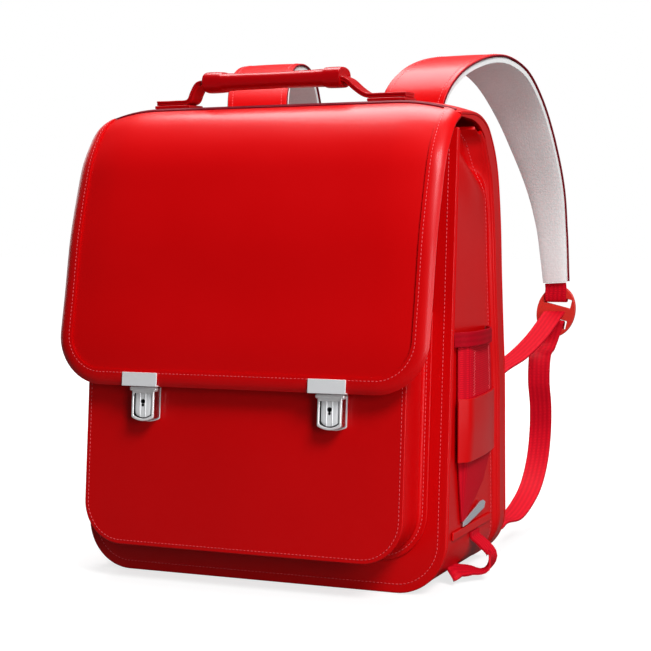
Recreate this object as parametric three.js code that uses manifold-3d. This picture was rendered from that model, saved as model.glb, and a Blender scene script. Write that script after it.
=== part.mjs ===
// School ransel: a stiff leather-look school backpack with a short flap, a front pocket,
// two push locks, a top handle and two padded shoulder straps.
// Millimetres, +Z up, the front towards -Y, the origin at the middle of the flat base.
import * as THREE from 'three';
import { mergeVertices } from 'three/addons/utils/BufferGeometryUtils.js';
import Module from 'manifold-3d';

const wasm = await Module();
wasm.setup();

// Body
const width = 300;
const height = 360;
const depth = 148;
const frontLean = 0.105;
const cornerRadius = 38;
const leather = 2.5;
const flange = 4;
const pipingRadius = 2;
const caseTopShare = 0.94;
const gussetDish = 7;
const clearance = 0.3;

// Cover: flap, top and padded back
const coverRoll = 9;
const coverFlatShare = 0.667;
const padThickness = 12;
const flapCornerRadius = 38;
const bindingWidth = 11;
const bindingThickness = 1;
const seamStripWidth = 7;
const seamStripThickness = 1.5;

// Front pocket
const pocketWidth = 262;
const pocketDepth = 39;
const pocketFoot = 28;
const pocketCovered = 54;
const pocketCornerRadius = 32;
const pocketOverhang = 2;

// Locks
const lockSpacing = 153;
const plateWidth = 29.5;
const plateHeight = 9;
const plateThickness = 1;
const lockBarWidth = 25;
const lockBarHeight = 4.4;
const lockWidth = 20;
const lockHeight = 23.5;
const lockDepth = 11;
const lockRim = 2.2;
const lockCavity = 6.5;
const lockSag = 2.6;
const buttonTravel = 2;
const buttonThickness = 3.6;
const fluteCount = 6;
const fluteDepth = 0.5;
const keyholeRadius = 1.7;

// Handle
const handleStrapWidth = 18;
const handleStrapThickness = 3.6;
const gripHeight = 13;
const gripThickness = 23;
const tabLength = 31;
const tabThickness = 2.4;
const handlePlace = -17;
const handleRise = 15;

// Shoulder straps
const strapWidth = 54;
const strapSpread = 127;
const strapReach = 224;
const strapShell = 2.2;
const strapPad = 6.2;
const liningInset = 3;
const anchorWidth = 214;
const anchorHeight = 34;
const anchorThickness = 3;

// Webbing and sliders
const webbingWidth = 20;
const webbingThickness = 1.6;
const sliderLength = 48;
const sliderWidth = 36;
const sliderThickness = 4;
const slotLength = 25;
const slotHeight = 8;
const slotCentre = 10;
const sliderTilt = 14 * Math.PI / 180;
const sliderDrop = 3;
const sliderShift = 2;
const slackStandOff = 6;
const tailStandOff = 1.5;
const lowerTabLength = 36;
const lowerTabThickness = 2.4;
const lowerTabMargin = 2;

// Side holders
const holderBandHeight = 11;
const holderBulge = 11;
const sleeveThickness = 1.6;
const sideLoopBulge = 13;

const halfWidth = width / 2;
const frontY = -depth / 2;
const backY = depth / 2;
const caseTop = height * caseTopShare;
const gussetHalf = halfWidth - flange;
const leanAngle = Math.atan(frontLean);

const redLeather = { color: 0xb8080c, roughness: 0.28, metalness: 0 };
const darkEdge = { color: 0x5a0c14, roughness: 0.5, metalness: 0 };
const redWebbing = { color: 0xc4061a, roughness: 0.8, metalness: 0 };
const redPlastic = { color: 0xd8281f, roughness: 0.45, metalness: 0 };
const greyMesh = { color: 0xcbc0c0, roughness: 0.9, metalness: 0 };
const silver = { color: 0xd6d6d8, roughness: 0.25, metalness: 1 };
const reflective = { color: 0xb9bcc4, roughness: 0.4, metalness: 0.2 };

const ransel = new THREE.Group();

function addPiece(name, geometry, finish, parent = ransel) {
  const piece = new THREE.Mesh(geometry, new THREE.MeshStandardMaterial(finish));
  piece.name = name;
  parent.add(piece);
  return piece;
}

function point(x, y, z) {
  return new THREE.Vector3(x, y, z);
}

function smoothStep(value) {
  const t = Math.min(Math.max(value, 0), 1);
  return t * t * (3 - 2 * t);
}

function signedVolume(positions, triangles) {
  const [a, b, c] = [new THREE.Vector3(), new THREE.Vector3(), new THREE.Vector3()];
  let sum = 0;
  for (let i = 0; i < triangles.length; i += 3) {
    a.fromArray(positions, 3 * triangles[i]);
    b.fromArray(positions, 3 * triangles[i + 1]);
    c.fromArray(positions, 3 * triangles[i + 2]);
    sum += a.dot(b.cross(c));
  }
  return sum / 6;
}

function closedGeometry(positions, triangles) {
  const facingOut = signedVolume(positions, triangles) > 0;
  const order = facingOut ? triangles : triangles.slice().reverse();
  const geometry = new THREE.BufferGeometry();
  geometry.setAttribute('position', new THREE.Float32BufferAttribute(positions, 3));
  geometry.setIndex(order);
  geometry.computeVertexNormals();
  return geometry;
}

// A wall between two matching grids of points, closed round its four edges.
function wall(outer, inner) {
  const rows = outer.length;
  const columns = outer[0].length;
  const positions = [];
  for (const grid of [outer, inner]) {
    for (const row of grid) {
      for (const p of row) positions.push(p.x, p.y, p.z);
    }
  }
  const outerAt = (i, j) => i * columns + j;
  const innerAt = (i, j) => rows * columns + i * columns + j;
  const triangles = [];
  const quad = (a, b, c, d) => triangles.push(a, b, c, a, c, d);
  for (let i = 0; i + 1 < rows; i++) {
    for (let j = 0; j + 1 < columns; j++) {
      quad(outerAt(i, j), outerAt(i, j + 1), outerAt(i + 1, j + 1), outerAt(i + 1, j));
      quad(innerAt(i, j), innerAt(i + 1, j), innerAt(i + 1, j + 1), innerAt(i, j + 1));
    }
    quad(outerAt(i, 0), outerAt(i + 1, 0), innerAt(i + 1, 0), innerAt(i, 0));
    const last = columns - 1;
    quad(outerAt(i + 1, last), outerAt(i, last), innerAt(i, last), innerAt(i + 1, last));
  }
  for (let j = 0; j + 1 < columns; j++) {
    quad(outerAt(0, j + 1), outerAt(0, j), innerAt(0, j), innerAt(0, j + 1));
    const last = rows - 1;
    quad(outerAt(last, j), outerAt(last, j + 1), innerAt(last, j + 1), innerAt(last, j));
  }
  return closedGeometry(positions, triangles);
}

// A solid skinned over closed rings of points, with a flat fan on each end.
function skin(rings) {
  const sides = rings[0].length;
  const positions = [];
  for (const ring of rings) {
    for (const p of ring) positions.push(p.x, p.y, p.z);
  }
  const triangles = [];
  for (let i = 0; i + 1 < rings.length; i++) {
    for (let j = 0; j < sides; j++) {
      const a = i * sides + j;
      const b = i * sides + (j + 1) % sides;
      triangles.push(a, b, b + sides, a, b + sides, a + sides);
    }
  }
  const end = (rings.length - 1) * sides;
  for (let j = 1; j + 1 < sides; j++) {
    triangles.push(0, j + 1, j, end, end + j, end + j + 1);
  }
  return closedGeometry(positions, triangles);
}

function toSolid(geometry) {
  const bare = geometry.clone();
  bare.deleteAttribute('normal');
  bare.deleteAttribute('uv');
  const merged = mergeVertices(bare, 1e-4);
  return new wasm.Manifold(new wasm.Mesh({
    numProp: 3,
    vertProperties: merged.attributes.position.array,
    triVerts: new Uint32Array(merged.index.array),
  }));
}

function toGeometry(solid) {
  const mesh = solid.getMesh();
  const geometry = new THREE.BufferGeometry();
  geometry.setAttribute('position', new THREE.Float32BufferAttribute(mesh.vertProperties, 3));
  geometry.setIndex(Array.from(mesh.triVerts));
  geometry.computeVertexNormals();
  return geometry;
}

function subtract(geometry, ...cutters) {
  const solid = cutters.reduce((left, cutter) => left.subtract(toSolid(cutter)), toSolid(geometry));
  return toGeometry(solid);
}

function smoothPath(points, steps) {
  const curve = new THREE.CatmullRomCurve3(points);
  return curve.getPoints((points.length - 1) * steps);
}

// A strap of one thickness along a path. Each station may have its own width, and `across`
// is the direction that the width is laid near. A positive offset moves it to its outer face.
function strapAlong(path, { widths, thickness, across, offset = 0, crown = 0, columns = 3 }) {
  const outer = [];
  const inner = [];
  path.forEach((centre, i) => {
    const before = path[Math.max(i - 1, 0)];
    const after = path[Math.min(i + 1, path.length - 1)];
    const along = after.clone().sub(before).normalize();
    const wanted = typeof across === 'function' ? across(i) : across;
    const side = wanted.clone().addScaledVector(along, -wanted.dot(along)).normalize();
    const normal = side.clone().cross(along);
    const span = typeof widths === 'function' ? widths(i / (path.length - 1)) : widths;
    const rowOuter = [];
    const rowInner = [];
    for (let j = 0; j < columns; j++) {
      const share = 2 * j / (columns - 1) - 1;
      const thin = crown * share * share;
      const place = centre.clone().addScaledVector(side, share * span / 2);
      rowOuter.push(place.clone().addScaledVector(normal, offset + thickness / 2 - thin * thickness / 2));
      rowInner.push(place.clone().addScaledVector(normal, offset - thickness / 2 + thin * thickness / 2));
    }
    outer.push(rowOuter);
    inner.push(rowInner);
  });
  return wall(outer, inner);
}

// The U-shaped run of an open-topped box in front view: down one side, round both lower
// corners and up the other, as places with the outward direction at each.
function boxRun({ half, foot, top, radius, sideSteps, cornerSteps, bottomSteps }) {
  const run = [];
  const add = (x, z, angle) => run.push({ x, z, outX: Math.cos(angle), outZ: Math.sin(angle) });
  for (let i = 0; i < sideSteps; i++) {
    add(-half, top + (foot + radius - top) * i / sideSteps, Math.PI);
  }
  for (let i = 0; i <= cornerSteps; i++) {
    const angle = Math.PI + Math.PI / 2 * i / cornerSteps;
    add(-half + radius + radius * Math.cos(angle), foot + radius + radius * Math.sin(angle), angle);
  }
  for (let i = 1; i < bottomSteps; i++) {
    add((2 * i / bottomSteps - 1) * (half - radius), foot, 1.5 * Math.PI);
  }
  const mirrored = run.slice(0, sideSteps + cornerSteps + 1).reverse();
  return run.concat(mirrored.map((p) => ({ x: -p.x, z: p.z, outX: -p.outX, outZ: p.outZ })));
}

function frontPlane(z) {
  return frontY + frontLean * z;
}

const frontInner = leather / Math.cos(leanAngle);

// Cover line, at its middle: shares of the height (up), of the depth (back) and of the
// pocket depth (pocket), with the edge roll and the padding as shares of their own sizes.
const coverRows = [
  { up: 0.4195, back: 0.0068, pocket: 1.00, roll: 0.22, pad: 0 },
  { up: 0.5000, back: 0.0304, pocket: 1.00, roll: 0.22, pad: 0 },
  { up: 0.6111, back: 0.0449, pocket: 0.85, roll: 0.33, pad: 0 },
  { up: 0.7250, back: 0.0331, pocket: 0.60, roll: 0.45, pad: 0 },
  { up: 0.8222, back: 0.0314, pocket: 0.35, roll: 0.67, pad: 0 },
  { up: 0.8889, back: 0.0196, pocket: 0.10, roll: 0.84, pad: 0 },
  { up: 0.9361, back: 0.0608, pocket: 0.00, roll: 1.00, pad: 0 },
  { up: 0.9736, back: 0.1486, pocket: 0.00, roll: 1.00, pad: 0 },
  { up: 0.9958, back: 0.2703, pocket: 0.00, roll: 1.00, pad: 0.10 },
  { up: 1.0000, back: 0.4054, pocket: 0.00, roll: 1.00, pad: 0.24 },
  { up: 1.0000, back: 0.5203, pocket: 0.00, roll: 1.00, pad: 0.38 },
  { up: 0.9917, back: 0.6351, pocket: 0.00, roll: 1.00, pad: 0.58 },
  { up: 0.9708, back: 0.7500, pocket: 0.00, roll: 1.00, pad: 0.85 },
  { up: 0.9444, back: 0.8176, pocket: 0.00, roll: 1.00, pad: 1.05 },
  { up: 0.9056, back: 0.8784, pocket: 0.00, roll: 0.90, pad: 1.15 },
  { up: 0.8556, back: 0.9189, pocket: 0.00, roll: 0.72, pad: 1.15 },
  { up: 0.7500, back: 0.9459, pocket: 0.00, roll: 0.45, pad: 1.10 },
  { up: 0.6278, back: 0.9561, pocket: 0.00, roll: 0.33, pad: 1.05 },
  { up: 0.5083, back: 0.9797, pocket: 0.00, roll: 0.33, pad: 1.05 },
  { up: 0.4167, back: 1.0000, pocket: 0.00, roll: 0.33, pad: 1.00 },
  { up: 0.2222, back: 1.0000, pocket: 0.00, roll: 0.33, pad: 1.00 },
  { up: 0.0010, back: 1.0000, pocket: 0.00, roll: 0.33, pad: 1.00 },
];
const seamRow = 8;

// The cover line as a finely stepped curve that is read by the distance from the flap's end.
const coverLine = (() => {
  const stepsPerRow = 12;
  const places = coverRows.map((row) => point(0, frontY + row.back * depth - row.pocket * pocketDepth,
    row.up * height));
  const shares = coverRows.map((row) => point(row.roll, row.pad, 0));
  const curve = new THREE.CatmullRomCurve3(places);
  const shareCurve = new THREE.CatmullRomCurve3(shares, false, 'catmullrom', 0.5);
  const count = (coverRows.length - 1) * stepsPerRow;
  const line = [];
  let run = 0;
  for (let i = 0; i <= count; i++) {
    const place = curve.getPoint(i / count);
    const share = shareCurve.getPoint(i / count);
    if (i > 0) run += place.distanceTo(line[i - 1].place);
    line.push({ place, run, roll: share.x, pad: Math.max(share.y, 0) });
  }
  line.forEach((at, i) => {
    const before = line[Math.max(i - 2, 0)].place;
    const after = line[Math.min(i + 2, count)].place;
    const along = after.clone().sub(before).normalize();
    at.inward = point(0, along.z, -along.y);
  });
  line.seamRun = line[seamRow * stepsPerRow].run;
  line.endRun = run;
  return line;
})();

function coverAt(distance) {
  let i = 1;
  while (i + 1 < coverLine.length && coverLine[i].run < distance) i++;
  const a = coverLine[i - 1];
  const b = coverLine[i];
  const t = (distance - a.run) / (b.run - a.run);
  return {
    place: a.place.clone().lerp(b.place, t),
    inward: a.inward.clone().lerp(b.inward, t).normalize(),
    roll: THREE.MathUtils.lerp(a.roll, b.roll, t),
    pad: THREE.MathUtils.lerp(a.pad, b.pad, t),
  };
}

// A point on the cover: `rise` above its outer face, `x` from the middle.
function onCover(distance, x, rise) {
  const at = coverAt(distance);
  const flat = halfWidth * coverFlatShare;
  const rolled = Math.max(Math.abs(x) - flat, 0) / (halfWidth - flat);
  const sink = coverRoll * at.roll * rolled * rolled - rise;
  return at.place.clone().addScaledVector(at.inward, sink).add(point(x, 0, 0));
}

function cornerHalf(distance, half, radius) {
  if (distance >= radius) return half;
  const left = radius - distance;
  return half - radius + Math.sqrt(Math.max(radius * radius - left * left, 0));
}

function cornerStops(radius, steps) {
  const stops = [];
  for (let i = 0; i <= steps; i++) stops.push(radius * (1 - Math.cos(Math.PI / 2 * i / steps)));
  return stops;
}

function evenStops(from, to, steps) {
  return Array.from({ length: steps }, (_, i) => from + (to - from) * (i + 1) / steps);
}

const coverColumns = [-1, -0.94, -0.87, -0.78, -0.667, -0.33, 0, 0.33, 0.667, 0.78, 0.87, 0.94, 1];

function coverPiece(stops, halfAt, thicknessAt) {
  const outer = [];
  const inner = [];
  for (const stop of stops) {
    const half = halfAt(stop);
    outer.push(coverColumns.map((share) => onCover(stop, share * half, 0)));
    inner.push(coverColumns.map((share) => onCover(stop, share * half, -thicknessAt(stop))));
  }
  return wall(outer, inner);
}

function backThickness(distance) {
  return leather + padThickness * coverAt(distance).pad;
}

const flapSideStops = evenStops(flapCornerRadius, coverLine.seamRun - clearance / 2, 17);

function buildFlap() {
  const stops = cornerStops(flapCornerRadius, 6).concat(flapSideStops);
  const halfAt = (stop) => cornerHalf(stop, halfWidth, flapCornerRadius);
  addPiece('flap', coverPiece(stops, halfAt, () => leather), redLeather);
}

function buildBack() {
  const seam = coverLine.seamRun + clearance / 2;
  const cornerStart = coverLine.endRun - cornerRadius;
  const ends = cornerStops(cornerRadius, 6).map((stop) => coverLine.endRun - stop).reverse();
  const stops = [seam].concat(evenStops(seam, cornerStart, 26).slice(0, -1), ends);
  const halfAt = (stop) => cornerHalf(coverLine.endRun - stop, halfWidth, cornerRadius);
  addPiece('back_panel', coverPiece(stops, halfAt, backThickness), redLeather);
}

// The binding lies on the flap round its free edge.
function bindingRail(inset) {
  const radius = flapCornerRadius - inset;
  const top = coverLine.seamRun - clearance - seamStripWidth / 2;
  const cornerSteps = 7;
  const sideStops = flapSideStops.filter((stop) => stop < top - clearance).concat(top).reverse();
  const rail = sideStops.map((stop) => ({ x: inset - halfWidth, stop }));
  for (let i = 0; i <= cornerSteps; i++) {
    const angle = Math.PI / 2 * i / cornerSteps;
    rail.push({
      x: flapCornerRadius - halfWidth - radius * Math.cos(angle),
      stop: flapCornerRadius - radius * Math.sin(angle),
    });
  }
  return rail.concat(rail.slice().reverse().map((p) => ({ x: -p.x, stop: p.stop })));
}

function buildBinding() {
  const rails = [0.5, bindingWidth / 2, bindingWidth].map(bindingRail);
  const layer = (rise) => rails[0].map((_, i) => rails.map((rail) => onCover(rail[i].stop, rail[i].x, rise)));
  addPiece('flap_binding', wall(layer(clearance + bindingThickness), layer(clearance)), redLeather);
}

function buildSeamStrip() {
  const half = halfWidth - flange;
  const steps = 24;
  const places = Array.from({ length: steps + 1 }, (_, i) => half * (2 * i / steps - 1));
  const layer = (rise) => places.map((x) => [-0.5, 0.5].map(
    (share) => onCover(coverLine.seamRun + share * seamStripWidth, x, rise)));
  addPiece('top_seam_strip', wall(layer(clearance + seamStripThickness), layer(clearance)), darkEdge);
}

function panelShape(half, foot, top, radius) {
  const shape = new THREE.Shape();
  shape.moveTo(-half, top);
  shape.lineTo(-half, foot + radius);
  shape.absarc(-half + radius, foot + radius, radius, Math.PI, 1.5 * Math.PI);
  shape.lineTo(half - radius, foot);
  shape.absarc(half - radius, foot + radius, radius, 1.5 * Math.PI, 2 * Math.PI);
  shape.lineTo(half, top);
  shape.closePath();
  return shape;
}

// A panel that leans with the front: drawn upright, then sheared back by frontLean.
function leaningPanel(shape, faceY, thickness) {
  const geometry = new THREE.ExtrudeGeometry(shape, { depth: thickness, bevelEnabled: false, curveSegments: 8 });
  const lay = new THREE.Matrix4().set(1, 0, 0, 0, 0, frontLean, 1, faceY, 0, 1, 0, 0, 0, 0, 0, 1);
  geometry.applyMatrix4(lay);
  const bare = geometry.clone();
  bare.deleteAttribute('normal');
  bare.deleteAttribute('uv');
  const merged = mergeVertices(bare, 1e-4);
  return closedGeometry(Array.from(merged.attributes.position.array), Array.from(merged.index.array));
}

function buildFrontPanel() {
  const shape = panelShape(halfWidth, clearance, caseTop, cornerRadius);
  addPiece('front_panel', leaningPanel(shape, frontY, frontInner), redLeather);
}

// A line down the back panel at one x, `rise` over its inner or outer face, read by height.
function backLine(x, rise, face = 'inner') {
  const line = [];
  for (let stop = coverLine.seamRun; stop <= coverLine.endRun; stop += 2) {
    const thickness = face === 'inner' ? backThickness(stop) : 0;
    const p = onCover(stop, x, rise - thickness);
    if (p.y > 0) line.push(p);
  }
  return line;
}

function readLine(line, z) {
  for (let i = 0; i + 1 < line.length; i++) {
    const a = line[i];
    const b = line[i + 1];
    if (a.z >= z && b.z <= z) return a.y + (b.y - a.y) * (a.z - z) / (a.z - b.z);
  }
  return line.at(-1).y;
}

const pipingRoom = 2 * pipingRadius + 2 * clearance;
const gussetBackLine = backLine(halfWidth, -pipingRoom);
const pipingBackLine = backLine(halfWidth, -clearance - pipingRadius);
const gussetRun = boxRun({
  half: gussetHalf, foot: 0, top: caseTop, radius: cornerRadius - flange,
  sideSteps: 12, cornerSteps: 6, bottomSteps: 4,
});

function gussetFront(z) {
  return frontPlane(z) + frontInner + pipingRoom;
}

function gussetBack(z) {
  return readLine(gussetBackLine, z);
}

function buildGusset() {
  const columns = 6;
  const dishStart = 0.62 * height;
  const layer = (depthIn) => gussetRun.map((p) => {
    const front = gussetFront(p.z);
    const back = gussetBack(p.z);
    const dish = gussetDish * smoothStep((p.z - dishStart) / (caseTop - dishStart));
    return Array.from({ length: columns }, (_, j) => {
      const share = j / (columns - 1);
      const inset = depthIn + dish * Math.sin(Math.PI * share);
      return point(p.x - p.outX * inset, front + (back - front) * share, p.z - p.outZ * inset);
    });
  });
  addPiece('case_gusset', wall(layer(0), layer(leather)), redLeather);
}

// A round bead that follows the box run at the depth that `yAt` gives.
function buildPiping(name, yAt) {
  const sides = 8;
  const run = boxRun({
    half: halfWidth - pipingRadius, foot: pipingRadius + clearance, top: caseTop - pipingRadius,
    radius: cornerRadius - pipingRadius, sideSteps: 12, cornerSteps: 7, bottomSteps: 4,
  });
  const centres = run.map((p) => point(p.x, yAt(p.z), p.z));
  const rings = centres.map((centre, i) => {
    const along = centres[Math.min(i + 1, centres.length - 1)].clone().sub(centres[Math.max(i - 1, 0)]);
    const out = point(run[i].outX, 0, run[i].outZ);
    out.addScaledVector(along, -out.dot(along) / along.lengthSq()).normalize();
    const side = along.normalize().cross(out);
    return Array.from({ length: sides }, (_, j) => {
      const angle = 2 * Math.PI * j / sides;
      return centre.clone().addScaledVector(out, pipingRadius * Math.cos(angle))
        .addScaledVector(side, pipingRadius * Math.sin(angle));
    });
  });
  addPiece(name, skin(rings), redLeather);
}

function buildCase() {
  buildFrontPanel();
  buildGusset();
  const middle = clearance + pipingRadius;
  buildPiping('front_piping', (z) => frontPlane(z) + frontInner + middle);
  buildPiping('back_piping', (z) => readLine(pipingBackLine, z));
}

const flapFoot = coverRows[0].up * height;
const pocketTop = flapFoot + pocketCovered;
const pocketFace = frontY - pocketDepth;

function buildPocket() {
  const half = pocketWidth / 2;
  const shape = panelShape(half, pocketFoot, pocketTop, pocketCornerRadius);
  addPiece('pocket_front', leaningPanel(shape, pocketFace, frontInner), redLeather);
  const run = boxRun({
    half: half - pocketOverhang, foot: pocketFoot + pocketOverhang, top: pocketTop,
    radius: pocketCornerRadius - pocketOverhang, sideSteps: 3, cornerSteps: 6, bottomSteps: 1,
  });
  const layer = (depthIn) => run.map((p) => {
    const lean = frontLean * p.z;
    const ends = [pocketFace + frontInner + clearance + lean, frontY - clearance + lean];
    return ends.map((y) => point(p.x - p.outX * depthIn, y, p.z - p.outZ * depthIn));
  });
  addPiece('pocket_gusset', wall(layer(0), layer(leather)), redLeather);
}

// Locks. Each is drawn flat, x across and y up from the top of its case, and depth outwards,
// then laid on the leaning pocket.
function lockOutline(inset, withBar) {
  const half = lockWidth / 2 - inset;
  const foot = -lockHeight + inset;
  const shape = new THREE.Shape();
  if (withBar) {
    shape.moveTo(-lockBarWidth / 2, 0);
    shape.lineTo(-lockBarWidth / 2, -lockBarHeight);
    shape.lineTo(-half, -lockBarHeight);
  } else {
    shape.moveTo(-half, -lockBarHeight - inset / 2);
  }
  shape.lineTo(-half, foot);
  shape.quadraticCurveTo(0, foot - 2 * lockSag, half, foot);
  if (withBar) {
    shape.lineTo(half, -lockBarHeight);
    shape.lineTo(lockBarWidth / 2, -lockBarHeight);
    shape.lineTo(lockBarWidth / 2, 0);
  } else {
    shape.lineTo(half, -lockBarHeight - inset / 2);
  }
  shape.closePath();
  return shape;
}

function extruded(shape, from, to) {
  const geometry = new THREE.ExtrudeGeometry(shape, { depth: to - from, bevelEnabled: false, curveSegments: 8 });
  return geometry.translate(0, 0, from);
}

function buildButton() {
  const play = lockRim + 0.4;
  const back = lockDepth - lockCavity + buttonTravel + clearance;
  const front = back + buttonThickness;
  const half = lockWidth / 2 - play;
  const pitch = 2 * half / fluteCount;
  const tall = lockHeight + 2 * lockSag;
  const flutes = Array.from({ length: fluteCount - 1 }, (_, i) => new THREE.BoxGeometry(pitch / 4, 2 * tall, 2 * fluteDepth)
    .translate(pitch * (i + 1) - half, 0, front));
  const keyY = -lockBarHeight - 0.34 * (lockHeight - lockBarHeight);
  const round = new THREE.CylinderGeometry(keyholeRadius, keyholeRadius, buttonThickness, 12);
  round.rotateX(Math.PI / 2).translate(0, keyY, front);
  const slotTall = 2.2 * keyholeRadius;
  const slot = new THREE.BoxGeometry(0.8 * keyholeRadius, slotTall, buttonThickness);
  slot.translate(0, keyY - keyholeRadius - slotTall / 4, front);
  return subtract(extruded(lockOutline(play, false), back, front), ...flutes, round, slot);
}

function buildLocks() {
  const lockTop = flapFoot - plateThickness - 3 * clearance - lockDepth * frontLean;
  const body = subtract(extruded(lockOutline(0, true), clearance, lockDepth),
    extruded(lockOutline(lockRim, false), lockDepth - lockCavity, lockDepth + leather));
  const button = buildButton();
  for (const [sideName, side] of [['left', -1], ['right', 1]]) {
    const x = side * lockSpacing / 2;
    const lock = new THREE.Group();
    lock.position.set(x, pocketFace + frontLean * lockTop, lockTop);
    lock.rotation.x = Math.PI / 2 - leanAngle;
    addPiece(`lock_case_${sideName}`, body, silver, lock);
    addPiece(`lock_button_${sideName}`, button, silver, lock);
    ransel.add(lock);
    addPiece(`lock_plate_${sideName}`, buildPlate(x), silver);
  }
}

// A plate folded round the flap's lower edge, over the binding.
function buildPlate(x) {
  const front = clearance + bindingThickness + clearance;
  const back = -leather - clearance;
  const outline = [
    [plateHeight, front], [-clearance, front], [-clearance, back], [plateHeight, back],
    [plateHeight, back - plateThickness], [-clearance - plateThickness, back - plateThickness],
    [-clearance - plateThickness, front + plateThickness], [plateHeight, front + plateThickness],
  ];
  const at = coverAt(0);
  const up = point(0, -at.inward.z, at.inward.y);
  const place = ([rise, out]) => at.place.clone().addScaledVector(up, rise).addScaledVector(at.inward, -out);
  const shape = new THREE.Shape(outline.map((corner) => {
    const p = place(corner);
    return new THREE.Vector2(p.y, p.z);
  }));
  const geometry = new THREE.ExtrudeGeometry(shape, { depth: plateWidth, bevelEnabled: false });
  const turn = new THREE.Matrix4().set(0, 0, 1, x - plateWidth / 2, 1, 0, 0, 0, 0, 1, 0, 0, 0, 0, 0, 1);
  return geometry.applyMatrix4(turn);
}

// Handle line from its left end to its right end: x as a share of half the body's width,
// rise as a share of the handle's rise over its ends.
const handleRows = [
  { out: -0.713, rise: 0.00 }, { out: -0.600, rise: 0.00 }, { out: -0.525, rise: 0.06 },
  { out: -0.500, rise: 0.50 }, { out: -0.470, rise: 0.92 }, { out: -0.400, rise: 1.00 },
  { out: -0.040, rise: 1.00 }, { out: 0.310, rise: 1.00 }, { out: 0.370, rise: 0.82 },
  { out: 0.425, rise: 0.36 }, { out: 0.480, rise: 0.03 }, { out: 0.560, rise: 0.00 },
  { out: 0.700, rise: 0.00 },
];
// Grip sections from its left end to its right end: shares of its height and thickness.
const gripRows = [
  { out: -0.433, tall: 1.10 }, { out: -0.425, tall: 1.25 }, { out: -0.340, tall: 1.22 },
  { out: -0.260, tall: 1.00 }, { out: -0.040, tall: 0.96 }, { out: 0.190, tall: 1.00 },
  { out: 0.265, tall: 1.20 }, { out: 0.335, tall: 1.22 }, { out: 0.345, tall: 1.10 },
];

function buildHandle() {
  const tabTop = height + clearance + tabThickness;
  const base = tabTop + clearance + handleStrapThickness / 2;
  const line = handleRows.map((row) => point(row.out * halfWidth, handlePlace, base + row.rise * handleRise));
  const path = smoothPath(line, 2);
  const strap = { widths: handleStrapWidth, thickness: handleStrapThickness, across: point(0, 1, 0) };
  addPiece('handle_strap', strapAlong(path, { ...strap, columns: 2 }), redLeather);
  const sides = 14;
  const rings = gripRows.map((row) => Array.from({ length: sides }, (_, j) => {
    const angle = 2 * Math.PI * j / sides;
    const squareCos = Math.sign(Math.cos(angle)) * Math.abs(Math.cos(angle)) ** 0.7;
    const squareSin = Math.sign(Math.sin(angle)) * Math.abs(Math.sin(angle)) ** 0.7;
    return point(row.out * halfWidth, handlePlace + squareCos * gripThickness / 2,
      base + handleRise + squareSin * row.tall * gripHeight / 2);
  }));
  const room = strapAlong(path, {
    ...strap, widths: handleStrapWidth + 2 * clearance, thickness: handleStrapThickness + 2 * clearance, columns: 2,
  });
  addPiece('handle_grip', subtract(skin(rings), room), redLeather);
  for (const [sideName, row, turn] of [['left', handleRows[0], 1], ['right', handleRows.at(-1), -1]]) {
    const tab = new THREE.BoxGeometry(tabLength, handleStrapWidth + 2 * leather, tabThickness);
    tab.translate(row.out * halfWidth + turn * (tabLength / 2 - clearance), handlePlace, tabTop - tabThickness / 2);
    addPiece(`handle_tab_${sideName}`, tab, redLeather);
  }
}

// Shoulder strap line from its root on the back: shares of the spread, the reach behind the
// back and the body's height, and of the strap's width.
const strapRows = [
  { out: 0.500, back: 0.000, up: 0.7200, wide: 1.00 },
  { out: 0.503, back: 0.000, up: 0.7700, wide: 1.00 },
  { out: 0.507, back: 0.000, up: 0.8200, wide: 1.00 },
  { out: 0.515, back: 0.006, up: 0.8800, wide: 1.00 },
  { out: 0.525, back: 0.024, up: 0.9500, wide: 1.00 },
  { out: 0.560, back: 0.062, up: 1.0250, wide: 1.00 },
  { out: 0.610, back: 0.145, up: 1.0750, wide: 1.00 },
  { out: 0.685, back: 0.290, up: 1.1100, wide: 1.00 },
  { out: 0.740, back: 0.460, up: 1.1180, wide: 1.00 },
  { out: 0.800, back: 0.625, up: 1.0880, wide: 0.96 },
  { out: 0.850, back: 0.760, up: 1.0200, wide: 0.88 },
  { out: 0.900, back: 0.860, up: 0.9300, wide: 0.78 },
  { out: 0.950, back: 0.945, up: 0.8200, wide: 0.64 },
  { out: 0.976, back: 0.985, up: 0.7200, wide: 0.52 },
  { out: 1.000, back: 1.000, up: 0.5800, wide: 0.44 },
];

const strapStack = strapShell + clearance + strapPad;
const strapRootY = readLine(backLine(0, clearance, 'outer'), strapRows[0].up * height);

function strapLine(side) {
  return strapRows.map((row) => point(side * row.out * strapSpread,
    strapRootY + strapStack / 2 + row.back * strapReach, row.up * height));
}

function widthAlong(rows, full) {
  return (share) => {
    const place = Math.min(share * (rows.length - 1), rows.length - 1.000001);
    const i = Math.floor(place);
    return full * THREE.MathUtils.lerp(rows[i].wide, rows[i + 1].wide, place - i);
  };
}

// How far webbing that lies along the slider stands off its middle.
const webbingStand = sliderThickness / 2 + 2 * clearance + webbingThickness / 2;

// The slider's frame: its middle, the way its slots run, its long axis and its front.
function sliderFrame(side) {
  const end = strapLine(side).at(-1);
  const out = side * (sliderShift - slotCentre * Math.sin(sliderTilt));
  const middle = end.clone().add(point(out, webbingStand, -sliderLength / 2 - clearance - sliderDrop));
  const up = point(side * Math.sin(sliderTilt), 0, Math.cos(sliderTilt));
  const across = point(side * Math.cos(sliderTilt), 0, -Math.sin(sliderTilt));
  return { middle, up, across, front: point(0, -1, 0) };
}

function onSlider(frame, rise, out) {
  return frame.middle.clone().addScaledVector(frame.up, rise).addScaledVector(frame.front, out);
}

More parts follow.
